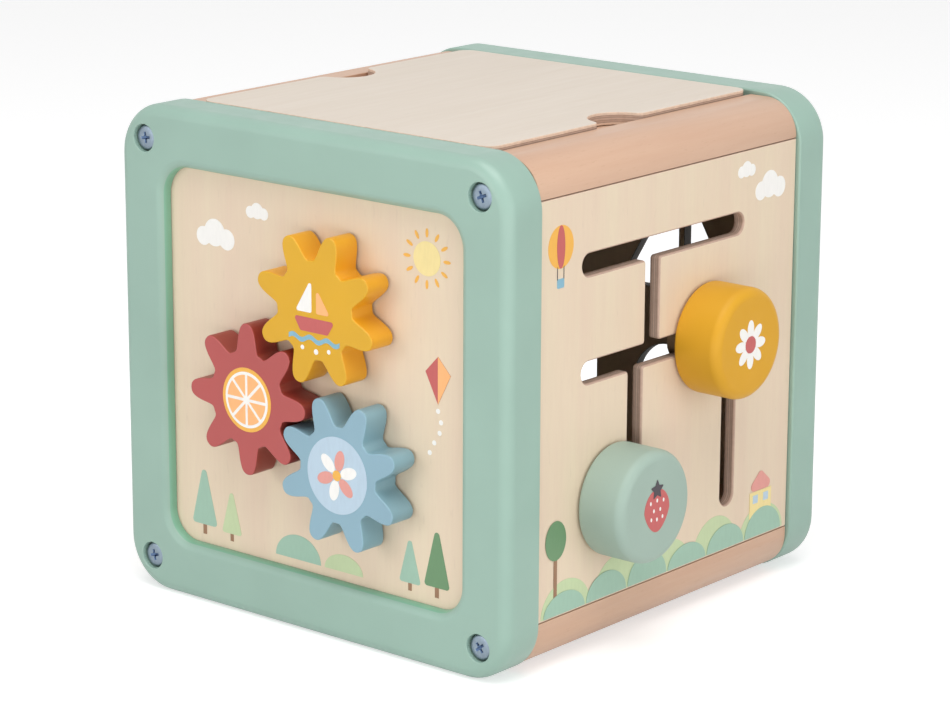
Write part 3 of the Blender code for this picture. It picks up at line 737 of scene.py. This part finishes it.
def screw_mesh():
    """A screw with a cross cut into its head. The second material, a darker zinc for the recess, is
    painted shade.
    """
    blank = add_object("screw", turned("screw", screw_head_profile(), FACING_UP, SCREW_STEPS))
    cutters = []
    for turn in (0, 90, 45):
        cutters.append(add_object("cross", cross_cutter("cross", turn)))
        blank.modifiers.new("cross", "BOOLEAN").object = cutters[-1]
    bpy.context.view_layer.update()
    evaluated = blank.evaluated_get(bpy.context.evaluated_depsgraph_get())
    mesh = bpy.data.meshes.new_from_object(evaluated)
    for spare in [blank] + cutters:
        bpy.data.objects.remove(spare)
    mesh.materials.clear()
    mesh.shade_smooth()
    mesh.set_sharp_from_angle(angle=SHARP_ANGLE)
    # Faces inside the cross take the darker zinc: painted shade
    for polygon in mesh.polygons:
        centre = polygon.center
        share = min(1.0, math.hypot(centre.x, centre.y) / HEAD_RADIUS)
        low, high = -CROSS_DEPTH - RECESS_SHADE_DEPTH, crown_height(share) - RECESS_SHADE_DEPTH
        if low < centre.z < high and share < RECESS_SHADE_SHARE:
            polygon.material_index = 1
    return mesh


def add_screws():
    """Eight screws, their crosses turned as they happened to be driven."""
    blank = screw_mesh()
    for name in ("zinc", "zinc_recess_shade"):
        blank.materials.append(all_materials[name])
    signs = {"lower": -1, "upper": 1, "left": -1, "right": 1}
    for end, y, facing in (("front", HEAD_DEPTH, FACING_FRONT),
                           ("back", CUBE_DEPTH - HEAD_DEPTH, FACING_BACK)):
        for spot, turn in SCREW_TURNS.items():
            top, side = spot.split("_")
            node = end + "_screw_" + spot
            screw = add_object(node + "_plated", blank)
            spin = Matrix.Rotation(math.radians(turn), 4, "Z")
            screw.matrix_world = place(signs[side] * SCREW_PLACE, y, signs[top] * SCREW_PLACE,
                                       facing) @ spin
            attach(screw, "cube_body")
            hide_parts(node)


# Rails and sheets
def rail_corners(top):
    """A rail's section at the upper or lower right, with the radius of each corner."""
    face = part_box("right_panel")[1].x - MIDDLE_X
    thickness = box_size("right_panel").x
    wall = face - RAIL_TOP_WIDTH
    lid_depth = face - (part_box("lid")[0].z - MIDDLE_Z)
    ledge = face - (lid_depth if top > 0 else thickness) - SEAM_GAP
    tongue = face - thickness - SEAM_GAP
    seam = face - (RAIL_ROUNDING + RAIL_EDGE if top > 0 else BOTTOM_SEAM_HEIGHT)
    foot = face - RAIL_HEIGHT
    return [((face, face), RAIL_ROUNDING), ((wall, face), RAIL_EDGE), ((wall, ledge), 0),
            ((wall - LEDGE_WIDTH, ledge), RAIL_EDGE), ((wall - LEDGE_WIDTH, foot), RAIL_EDGE),
            ((tongue, foot), RAIL_EDGE), ((tongue, seam), 0), ((face, seam), RAIL_EDGE)]


def add_rails():
    for top_name, top in (("upper", 1), ("lower", -1)):
        for side_name, side in (("right", 1), ("left", -1)):
            node = "rail_" + top_name + "_" + side_name
            corners, radii = zip(*rail_corners(top))
            corners = [(side * u, top * v) for u, v in corners]
            if side * top < 0:
                corners, radii = corners[::-1], radii[::-1]
            matrix = place(0, box_middle(node).y - FRONT_Y, 0, FACING_FRONT)
            mesh = slab(node + "_oiled", [rounded(corners, radii)], box_size(node).y, [RAIL_EDGE / 2],
                        matrix)
            add_piece(node + "_oiled", mesh, "cube_body", [all_materials["beech"]], [node])


def sheet(node, outlines, facing, axis, face, body="cube_body", rim=PLY_EDGE):
    """A plywood sheet in its node's place, with its face veneer and its cut edges."""
    middle = box_middle(node)
    roundings = [PLY_EDGE] + [rim] * (len(outlines) - 1)
    mesh = slab(node + "_veneered", outlines, box_size(node)[axis], roundings,
                Matrix.Translation(middle) @ facing, RIM_STEPS)
    paint_sides(mesh, axis, SHEET_EDGE_LEAN)
    materials = [all_materials[face], all_materials[node + "_edge"]]
    add_piece(node + "_veneered", mesh, body, materials, [node])


def maze_outline():
    """The slots' joined outline, anticlockwise, from the middle of the right panel."""
    half = SLOT_HALF_WIDTH
    centre_v = box_middle("right_panel").z - MIDDLE_Z
    inner, end = SLOT_CORNER_RADIUS, half
    front, rear = SLOTS_FRONT - half, REAR_BRANCH + half
    corners = [
        ((front, TOP_SLOT_Z - half), end), ((UPPER_BRANCH - half, TOP_SLOT_Z - half), inner),
        ((UPPER_BRANCH - half, MIDDLE_SLOT_Z + half), inner), ((front, MIDDLE_SLOT_Z + half), end),
        ((front, MIDDLE_SLOT_Z - half), end), ((LOWER_BRANCH - half, MIDDLE_SLOT_Z - half), inner),
        ((LOWER_BRANCH - half, BOTTOM_SLOT_Z + half), inner),
        ((BOTTOM_SLOT_FRONT - half, BOTTOM_SLOT_Z + half), end),
        ((BOTTOM_SLOT_FRONT - half, BOTTOM_SLOT_Z - half), end),
        ((LOWER_BRANCH + half, BOTTOM_SLOT_Z - half), end),
        ((LOWER_BRANCH + half, MIDDLE_SLOT_Z - half), inner),
        ((REAR_BRANCH - half, MIDDLE_SLOT_Z - half), inner),
        ((REAR_BRANCH - half, REAR_BRANCH_FOOT_Z - half), end),
        ((rear, REAR_BRANCH_FOOT_Z - half), end),
        ((rear, MIDDLE_SLOT_Z + half), end), ((UPPER_BRANCH + half, MIDDLE_SLOT_Z + half), inner),
        ((UPPER_BRANCH + half, TOP_SLOT_Z - half), inner),
        ((TOP_SLOT_BACK + half, TOP_SLOT_Z - half), end),
        ((TOP_SLOT_BACK + half, TOP_SLOT_Z + half), end), ((front, TOP_SLOT_Z + half), end),
    ]
    outline = rounded([corner for corner, _ in corners],
                      [SLOT_END_SHARE * radius for _, radius in corners], SLOT_STEPS)
    return [(u, v - centre_v) for u, v in outline]


def lid_outline():
    """The lid, with a finger notch in the middle of its left and right edges."""
    size = box_size("lid")
    reach, mouth = FINGER_NOTCH_RADIUS, NOTCH_MOUTH_RADIUS
    away = math.sqrt((reach + mouth) ** 2 - mouth ** 2)
    lean = math.atan2(mouth, away)
    corners = rounded(rectangle(size.x, size.y), LID_CORNER_RADIUS)
    notch = (arc(-mouth, -away, mouth, 0, math.pi / 2 - lean, SMALL_ARC_STEPS)
             + arc(0, 0, reach, 1.5 * math.pi - lean, math.pi / 2 + lean, NOTCH_STEPS)[1:-1]
             + arc(-mouth, away, mouth, lean - math.pi / 2, 0, SMALL_ARC_STEPS))
    right = [(u + size.x / 2, v - FINGER_NOTCH_OFFSET) for u, v in notch]
    left = [(-u, -v) for u, v in right]
    quarter = len(corners) // 4
    return corners[:2 * quarter] + right + corners[2 * quarter:] + left


def sorter_holes():
    """The back panel's holes, clockwise, with u turned round because the panel faces the back."""
    slope = 1 / math.sqrt(3)
    left = TENT_HOLE_X - TENT_HOLE_SIDE / 2
    right = TENT_HOLE_X + TENT_HOLE_SIDE / 2
    base = TENT_HOLE_BASE_Z
    bar_left = TENT_HOLE_X + TENT_BAR_OFFSET - TENT_BAR_WIDTH / 2
    bar_right = bar_left + TENT_BAR_WIDTH
    left_tent = [(left, base), (bar_left, base), (bar_left, base + (bar_left - left) / slope)]
    right_tent = [(bar_right, base), (right, base), (bar_right, base + (right - bar_right) / slope)]
    square = rectangle(SQUARE_HOLE_SIDE, SQUARE_HOLE_SIDE, SQUARE_HOLE_X, ROUND_HOLE_Z)
    holes = [rounded(shape, SORTER_CORNER_RADIUS, SMALL_ARC_STEPS)
             for shape in (left_tent, right_tent, square)]
    holes.append(circle(ROUND_HOLE_X, ROUND_HOLE_Z, ROUND_HOLE_RADIUS))
    return [[(-u, v) for u, v in hole] for hole in holes]


def add_sheets():
    side_size = box_size("right_panel")
    side_plan = rounded(rectangle(side_size.y, side_size.z), PLY_EDGE, EDGE_STEPS)
    sheet("right_panel", [side_plan, maze_outline()[::-1]], FACING_RIGHT, 0, "side_ply",
          rim=SLOT_RIM)
    sheet("left_panel", [side_plan], FACING_LEFT, 0, "side_ply")
    for node, facing, holes in (("front_panel", FACING_FRONT, []),
                                ("back_panel", FACING_BACK, sorter_holes())):
        size = box_size(node)
        plan = rounded(rectangle(size.x, size.z), WINDOW_CORNER_RADIUS)
        sheet(node, [plan] + holes, facing, 1, "front_ply")
    bottom = box_size("bottom_panel")
    bottom_plan = rounded(rectangle(bottom.x, bottom.y), PLY_EDGE, EDGE_STEPS)
    sheet("bottom_panel", [bottom_plan], FACING_UP, 2, "lid_ply")
    sheet("lid", [lid_outline()], FACING_UP, 2, "lid_ply", "lid")


# Gears and knobs
def gear_outline(tooth_angle):
    """Soft round teeth from a cosine wave whose overtones round the tips and fill the flanks."""
    middle = (GEAR_TIP_RADIUS + GEAR_ROOT_RADIUS) / 2
    swing = (GEAR_TIP_RADIUS - GEAR_ROOT_RADIUS) / 2
    count = GEAR_TEETH * TOOTH_STEPS
    outline = []
    for i in range(count):
        angle = 2 * math.pi * i / count
        phase = GEAR_TEETH * angle
        radius = middle + swing * ((1 + TOOTH_FULLNESS) * math.cos(phase)
                                   - TOOTH_FULLNESS * math.cos(3 * phase)
                                   + TOOTH_POINTEDNESS * (math.cos(2 * phase) - 1))
        direction = angle + tooth_angle
        outline.append((radius * math.cos(direction), radius * math.sin(direction)))
    return outline


def gear_face(colour):
    """A matrix on the middle of a gear's face, looking out of it."""
    axle = box_middle(colour + "_gear_axle")
    return Matrix.Translation((axle.x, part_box(colour + "_gear")[0].y, axle.z)) @ FACING_FRONT


def knob_face(colour):
    knob = box_middle(colour + "_knob")
    return Matrix.Translation((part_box(colour + "_knob")[1].x, knob.y, knob.z)) @ FACING_RIGHT


def add_gears():
    for colour, tooth_angle in TOOTH_ANGLES.items():
        node = colour + "_gear"
        thickness = box_size(node).y
        matrix = gear_face(colour) @ Matrix.Translation((0, 0, -thickness / 2))
        mesh = slab(node + "_painted", [gear_outline(tooth_angle)], thickness, [GEAR_EDGE_ROUNDING],
                    matrix, RIM_STEPS)
        # The sides take the side copy of the paint: painted shade on the red and blue gears
        paint_sides(mesh, 1, GEAR_SIDE_LEAN)
        add_piece(node + "_painted", mesh, node,
                  [all_materials[node + "_face"], all_materials[node + "_side"]], [node])


def add_knobs():
    for colour in KNOB_COLOURS:
        node = colour + "_knob"
        thickness = box_size(node).x
        radius = box_size(node).z / 2
        rim = arc(radius - KNOB_EDGE_ROUNDING, -KNOB_EDGE_ROUNDING, KNOB_EDGE_ROUNDING,
                  0, math.pi / 2, ROUNDING_STEPS)
        back = arc(radius - KNOB_BACK_ROUNDING, KNOB_BACK_ROUNDING - thickness, KNOB_BACK_ROUNDING,
                   -math.pi / 2, 0, ROUNDING_STEPS)
        mesh = turned(node + "_painted", back + rim, knob_face(colour))
        add_piece(node + "_painted", mesh, node, [all_materials[node]], [node])


# Prints
def add_prints(surface, body, matrix, prints):
    """Print thin flat shapes on a face. Each print has its ink, its outlines and its layer."""
    for ink_name, outlines, layer in prints:
        name = surface + "_print_" + ink_name
        work = bmesh.new()
        low = PRINT_GAP + layer * (PRINT_THICKNESS + PRINT_GAP)
        for outline in outlines:
            foot = ring(work, outline, low)
            top = ring(work, outline, low + PRINT_THICKNESS)
            band(work, foot, top)
            cap(work, [foot])
            cap(work, [top])
        mesh = finish_mesh(work, name, matrix)
        add_piece(name, mesh, body, [ink_materials[ink_name]])


def star(centre_u, centre_v, radius, points, waist):
    """A star with softened corners and one point up. The waist is the share of the radius between."""
    corners = []
    for i in range(2 * points):
        reach = radius * (waist if i % 2 else 1)
        angle = math.pi / 2 + math.pi * i / points
        corners.append((centre_u + reach * math.cos(angle), centre_v + reach * math.sin(angle)))
    return rounded(corners, radius * 0.06, 3)


def cloud(centre_u, centre_v, lobes):
    """The outline round overlapping circles, given as (u, v, radius) about the cloud's middle."""
    points = []
    for i in range(CLOUD_STEPS):
        angle = 2 * math.pi * i / CLOUD_STEPS
        ray = Vector((math.cos(angle), math.sin(angle)))
        reach = 0
        for u, v, radius in lobes:
            along = ray.dot(Vector((u, v)))
            aside = u * u + v * v - along * along
            if radius * radius > aside:
                reach = max(reach, along + math.sqrt(radius * radius - aside))
        points.append((centre_u + reach * ray.x, centre_v + reach * ray.y))
    return points


CLOUD = [(-0.006, -0.001, 0.0038), (0.0, 0.001, 0.0055), (0.0065, -0.001, 0.0042)]
SMALL_CLOUD = [(-0.0035, 0, 0.0024), (0.0, 0.0008, 0.0032), (0.0035, 0, 0.0024)]


def hill(centre_u, foot_v, half_width, height):
    """A half ellipse that stands on its flat foot."""
    return [(centre_u + half_width * math.cos(angle), foot_v + height * math.sin(angle))
            for angle in (math.pi * i / HILL_STEPS for i in range(HILL_STEPS + 1))]


def gable(centre_u, foot_v, width, height):
    """A softened triangle that stands on its foot, for a tree or a roof."""
    left, right = centre_u - width / 2, centre_u + width / 2
    return rounded([(left, foot_v), (right, foot_v), (centre_u, foot_v + height)], width * 0.1, 5)


def trunk(centre_u, foot_v, width, height):
    return rectangle(width, height, centre_u, foot_v + height / 2)


def wave(centre_u, centre_v, width, thickness, rise, count):
    """A wavy band."""
    steps = 12 * count
    upper, lower = [], []
    for i in range(steps + 1):
        u = width * (i / steps - 0.5)
        v = rise * math.sin(2 * math.pi * count * i / steps)
        upper.append((centre_u + u, centre_v + v + thickness / 2))
        lower.append((centre_u + u, centre_v + v - thickness / 2))
    return lower + upper[::-1]


def print_front_panel():
    """Clouds, a sun with its rays, a kite with a tail, and trees on hills."""
    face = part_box("front_panel")[0].y
    matrix = Matrix.Translation((MIDDLE_X, face, MIDDLE_Z)) @ FACING_FRONT
    foot = -WINDOW_HALF + 0.0035
    sun = (0.0565, 0.058)
    rays = []
    for i in range(12):
        angle = math.pi * i / 6
        rays.append(ellipse(sun[0] + 0.0098 * math.cos(angle), sun[1] + 0.0098 * math.sin(angle),
                            0.0018, 0.0007, angle, 16))
    kite = (0.062, 0.014)
    tail = [(kite[0] - 0.0005 * i + 0.0022 * math.sin(1.1 * i), kite[1] - 0.0135 - 0.0042 * i)
            for i in range(5)]
    prints = [
        ("white", [cloud(-0.053, 0.051, CLOUD), cloud(-0.03, 0.063, SMALL_CLOUD)]
         + [circle(u, v, 0.001, 20) for u, v in tail], 0),
        ("straw", [circle(sun[0], sun[1], 0.0066, 48)], 0),
        ("amber", rays, 0),
        ("brick", [[(kite[0], kite[1] + 0.0075), (kite[0] - 0.0062, kite[1] + 0.001),
                    (kite[0], kite[1] - 0.011), (kite[0] + 0.0062, kite[1] + 0.001)]], 0),
        ("peach", [[(kite[0], kite[1] + 0.0075), (kite[0], kite[1] - 0.011),
                    (kite[0] + 0.0062, kite[1] + 0.001)]], 1),
        ("sage", [gable(-0.061, foot + 0.004, 0.014, 0.027),
                  gable(0.048, foot + 0.003, 0.011, 0.02), hill(-0.01, foot, 0.012, 0.01)], 0),
        ("pale_green", [gable(-0.046, foot + 0.003, 0.011, 0.02),
                        hill(0.014, foot, 0.01, 0.007)], 0),
        ("deep_green", [gable(0.0615, foot + 0.004, 0.013, 0.026)], 0),
        ("bark", [trunk(-0.061, foot, 0.002, 0.004), trunk(-0.046, foot, 0.0018, 0.003),
                  trunk(0.048, foot, 0.0018, 0.003), trunk(0.0615, foot, 0.002, 0.004)], 0),
    ]
    add_prints("front_panel", "cube_body", matrix, prints)


def print_side_panel():
    """A balloon, clouds, and a house and a round tree among two rows of hills."""
    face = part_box("right_panel")[1].x
    matrix = Matrix.Translation((face, FRONT_Y + CUBE_DEPTH / 2, MIDDLE_Z)) @ FACING_RIGHT
    foot = BOTTOM_SEAM_HEIGHT - (face - MIDDLE_X) + 0.001
    ball = (-0.069, 0.064)
    house = (0.063, foot + 0.008)
    crown = (-0.0705, -0.049)
    far_hills = [hill(-0.064 + 0.032 * i, foot, 0.015, 0.013 + 0.002 * (i % 2))
                 for i in range(5)]
    near_hills = [hill(-0.065 + 0.026 * i, foot, 0.0125, 0.0085 + 0.0015 * (i % 3))
                  for i in range(6)]
    prints = [
        ("white", [cloud(0.064, 0.066, CLOUD), cloud(0.048, 0.0745, SMALL_CLOUD)], 0),
        ("amber", [ellipse(ball[0], ball[1], 0.0075, 0.0082, steps=48)], 0),
        ("brick", [ellipse(ball[0], ball[1], 0.0024, 0.0082)], 1),
        ("sky", [rounded(rectangle(0.0042, 0.0036, ball[0], ball[1] - 0.0138), 0.0006, 3)], 0),
        ("charcoal", [rectangle(0.0004, 0.005, ball[0] + side * 0.0019, ball[1] - 0.0099)
                      for side in (-1, 1)], 0),
        ("pale_green", far_hills, 0),
        ("bark", [trunk(crown[0], foot + 0.006, 0.002, crown[1] - foot - 0.006)], 1),
        ("deep_green", [ellipse(crown[0], crown[1], 0.0062, 0.0078, steps=40)], 2),
        ("straw", [rectangle(0.015, 0.011, house[0], house[1] + 0.0055)], 1),
        ("rose", [gable(house[0], house[1] + 0.0112, 0.02, 0.0085)], 1),
        ("pale_blue", [rectangle(0.0034, 0.0034, house[0] + side * 0.0036, house[1] + 0.0078)
                       for side in (-1, 1)], 2),
        ("sage", near_hills, 2),
    ]
    add_prints("side_panel", "cube_body", matrix, prints)


def print_gears():
    """A slice of orange, a sailing boat and a small flower."""
    segments = []
    for i in range(8):
        angle = math.pi * (i + 0.5) / 4
        segments.append([(0.0016 * math.cos(angle), 0.0016 * math.sin(angle))]
                        + arc(0, 0, 0.01, angle - 0.33, angle + 0.33, 8))
    add_prints("red_gear", "red_gear", gear_face("red"), [
        ("amber", [circle(0, 0, 0.0128)], 0),
        ("white", [circle(0, 0, 0.0112)], 1),
        ("peach", segments, 2),
    ])

    hull = rounded([(-0.0105, -0.003), (-0.007, -0.0085), (0.007, -0.0085), (0.0105, -0.003)],
                   0.001, 5)
    left_sail = rounded([(-0.0012, -0.001), (-0.0012, 0.0125), (-0.0095, -0.001)], 0.0008, 5)
    right_sail = rounded([(0.0012, -0.001), (0.0082, -0.001), (0.0012, 0.009)], 0.0008, 5)
    bubbles = [circle(-0.006, -0.015, 0.0009, 20), circle(0.001, -0.0158, 0.0011, 20),
               circle(0.0075, -0.0148, 0.0009, 20)]
    add_prints("yellow_gear", "yellow_gear", gear_face("yellow"), [
        ("brick", [hull], 0),
        ("white", [left_sail] + bubbles, 0),
        ("peach", [right_sail], 0),
        ("sky", [wave(0, -0.0113, 0.026, 0.0019, 0.0008, 3)], 0),
    ])

    petals = {"rose": [], "white": []}
    for i in range(6):
        angle = math.pi * i / 3 + 0.3
        petals["rose" if i % 2 else "white"].append(
            ellipse(0.0062 * math.cos(angle), 0.0062 * math.sin(angle), 0.0042, 0.0024, angle))
    add_prints("blue_gear", "blue_gear", gear_face("blue"), [
        ("pale_blue", [circle(0, 0, 0.0152)], 0),
        ("rose", petals["rose"], 1),
        ("white", petals["white"], 1),
        ("amber", [circle(0, 0, 0.0021, 32)], 2),
    ])


def print_knobs():
    """A flower and a strawberry."""
    petals = [ellipse(0.0062 * math.cos(angle), 0.0062 * math.sin(angle), 0.0036, 0.0021, angle)
              for angle in (math.pi * i / 4 for i in range(8))]
    add_prints("yellow_knob", "yellow_knob", knob_face("yellow"), [
        ("white", petals, 0),
        ("brick", [circle(0, 0, 0.0034, 40)], 1),
    ])

    berry = []
    for i in range(60):
        angle = 2 * math.pi * i / 60
        narrowing = 1 - 0.28 * max(0.0, -math.sin(angle))
        berry.append((0.0078 * narrowing * math.cos(angle), -0.001 + 0.0085 * math.sin(angle)))
    seeds = [ellipse(u, v, 0.0005, 0.0008, steps=12)
             for u, v in ((-0.004, 0.0025), (0.0, 0.003), (0.004, 0.0025), (-0.002, -0.0008),
                          (0.002, -0.0008), (-0.0035, -0.004), (0.0, -0.0045), (0.0035, -0.004))]
    leaf = star(0, 0.0072, 0.0042, 5, 0.5)
    add_prints("green_knob", "green_knob", knob_face("green"), [
        ("brick", [berry], 0),
        ("white", seeds, 1),
        ("charcoal", [leaf], 1),
    ])


# Materials
def make_materials():
    made = {
        "sage": paint("sage_satin", SAGE, roughness=0.42, sheen=0.65),
        "sage_window_shade": paint("sage_window_shade", SAGE_WINDOW_SHADE, roughness=0.36),
        "beech": beech("beech", 1),
        "zinc": zinc("zinc", ZINC),
        "zinc_recess_shade": zinc("zinc_recess_shade", ZINC_RECESS_SHADE),
        "dowel": dowel_wood("birch_dowel"),
        "front_ply": plywood_face("front_ply", PLY_PALE, PLY_WARM, 2),
        "side_ply": plywood_face("side_ply", PLY_PALE, PLY_WARM, 2),
        "lid_ply": plywood_face("lid_ply", LID_PALE, LID_WARM, 1),
    }
    for node, axis in (("right_panel", 0), ("left_panel", 0), ("front_panel", 1),
                       ("back_panel", 1), ("bottom_panel", 2), ("lid", 2)):
        low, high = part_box(node)
        # The right panel's outer plies take the darker veneer: painted shade at the slot rims
        outer = PLY_EDGE_SHADED if node == "right_panel" else PLY_EDGE_LIGHT
        # The back panel's edges are darkened: painted shade
        shade = BACK_EDGE_PAINTED_SHADE if node == "back_panel" else 1.0
        name = node + "_edge"
        made[name] = plywood_edge(name, axis, low[axis], high[axis], outer, shade)
    # Gear sides take their own copy of the paint: painted shade on the red and blue
    for part, colours in (("_gear_face", GEAR_FACES), ("_gear_side", GEAR_SIDES_SHADED)):
        for name, colour in colours.items():
            made[name + part] = paint(name + part, colour, roughness=0.4)
    for name, colour in KNOB_COLOURS.items():
        made[name + "_knob"] = paint(name + "_knob", colour, roughness=0.46, sheen=0.25)
    return made


def dress_inner_nodes():
    """Axles, stems and washers keep their own solids and take the dowel's wood, darkened as painted
    shade.
    """
    for name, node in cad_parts.items():
        if name.endswith(("_axle", "_stem", "_washer")):
            node.data.materials.clear()
            node.data.materials.append(all_materials["dowel"])


# Stage
def seen_rays(tree):
    """1 for the rays that show the background: the camera's and those in gloss or glass."""
    light_path = add(tree, "LightPath")
    seen = light_path.outputs["Is Camera Ray"]
    for name in ("Is Glossy Ray", "Is Transmission Ray"):
        rays = {0: seen, 1: light_path.outputs[name]}
        seen = add(tree, "Math", rays, operation="MAXIMUM").outputs[0]
    return seen


def white_ground(tree, shader_socket):
    """Lift a surface to white where it is looked at, which keeps the object's shadow on it."""
    glow = remap(tree, seen_rays(tree), 0, 1, 0, FLOOR_GLOW)
    white = add(tree, "Emission", {"Color": (1, 1, 1, 1), "Strength": glow})
    return add(tree, "AddShader", {0: shader_socket, 1: white.outputs[0]}).outputs[0]


def add_floor():
    mesh = bpy.data.meshes.new("floor")
    work = bmesh.new()
    bmesh.ops.create_grid(work, x_segments=1, y_segments=1, size=FLOOR_REACH)
    work.to_mesh(mesh)
    work.free()
    floor = add_object("floor", mesh)
    floor.location.z = cad_box[0].z
    material, tree, shader = new_material("floor", 0.9)
    shader.inputs["Base Color"].default_value = (FLOOR_SHADE, FLOOR_SHADE, FLOOR_SHADE, 1.0)
    surface = white_ground(tree, shader.outputs[0])
    tree.links.new(surface, tree.nodes["Material Output"].inputs["Surface"])
    mesh.materials.append(material)


def add_world():
    world = bpy.data.worlds.new("studio")
    bpy.context.scene.world = world
    world.use_nodes = True
    tree = world.node_tree
    background = tree.nodes["Background"]
    background.inputs["Color"].default_value = (1, 1, 1, 1)
    strength = remap(tree, seen_rays(tree), 0, 1, WORLD_LIGHT, 1.0)
    tree.links.new(strength, background.inputs["Strength"])


def add_lights():
    aim = Vector((0, 0, MIDDLE_Z))
    for name, (azimuth, elevation, distance, width, height, watts) in SOFTBOXES.items():
        lamp = bpy.data.lights.new(name, "AREA")
        lamp.shape = "RECTANGLE"
        lamp.size = width
        lamp.size_y = height
        lamp.energy = watts
        light = add_object(name, lamp)
        light.visible_camera = False
        turn, rise = math.radians(azimuth), math.radians(elevation)
        level = math.cos(rise)
        away = Vector((math.sin(turn) * level, -math.cos(turn) * level, math.sin(rise)))
        light.location = aim + distance * away
        light.rotation_euler = away.to_track_quat("Z", "Y").to_euler()


def add_camera():
    lens = bpy.data.cameras.new("camera")
    lens.lens = CAMERA_LENS
    lens.sensor_width = SENSOR_WIDTH
    camera = add_object("camera", lens)
    camera.matrix_world = (Matrix.Translation(CAMERA_PLACE) @ Matrix.Rotation(CAMERA_AZIMUTH, 4, "Z")
                           @ Matrix.Rotation(math.pi / 2 - CAMERA_ELEVATION, 4, "X")
                           @ Matrix.Rotation(CAMERA_ROLL, 4, "Z"))
    bpy.context.scene.camera = camera


add_camera()
add_world()
add_lights()
add_floor()
bpy.context.scene.view_settings.view_transform = "Standard"
all_materials = make_materials()
ink_materials = {name: ink(name, colour) for name, colour in INKS.items()}
add_frames()
add_screws()
add_rails()
add_sheets()
add_gears()
add_knobs()
dress_inner_nodes()
print_front_panel()
print_side_panel()
print_gears()
print_knobs()
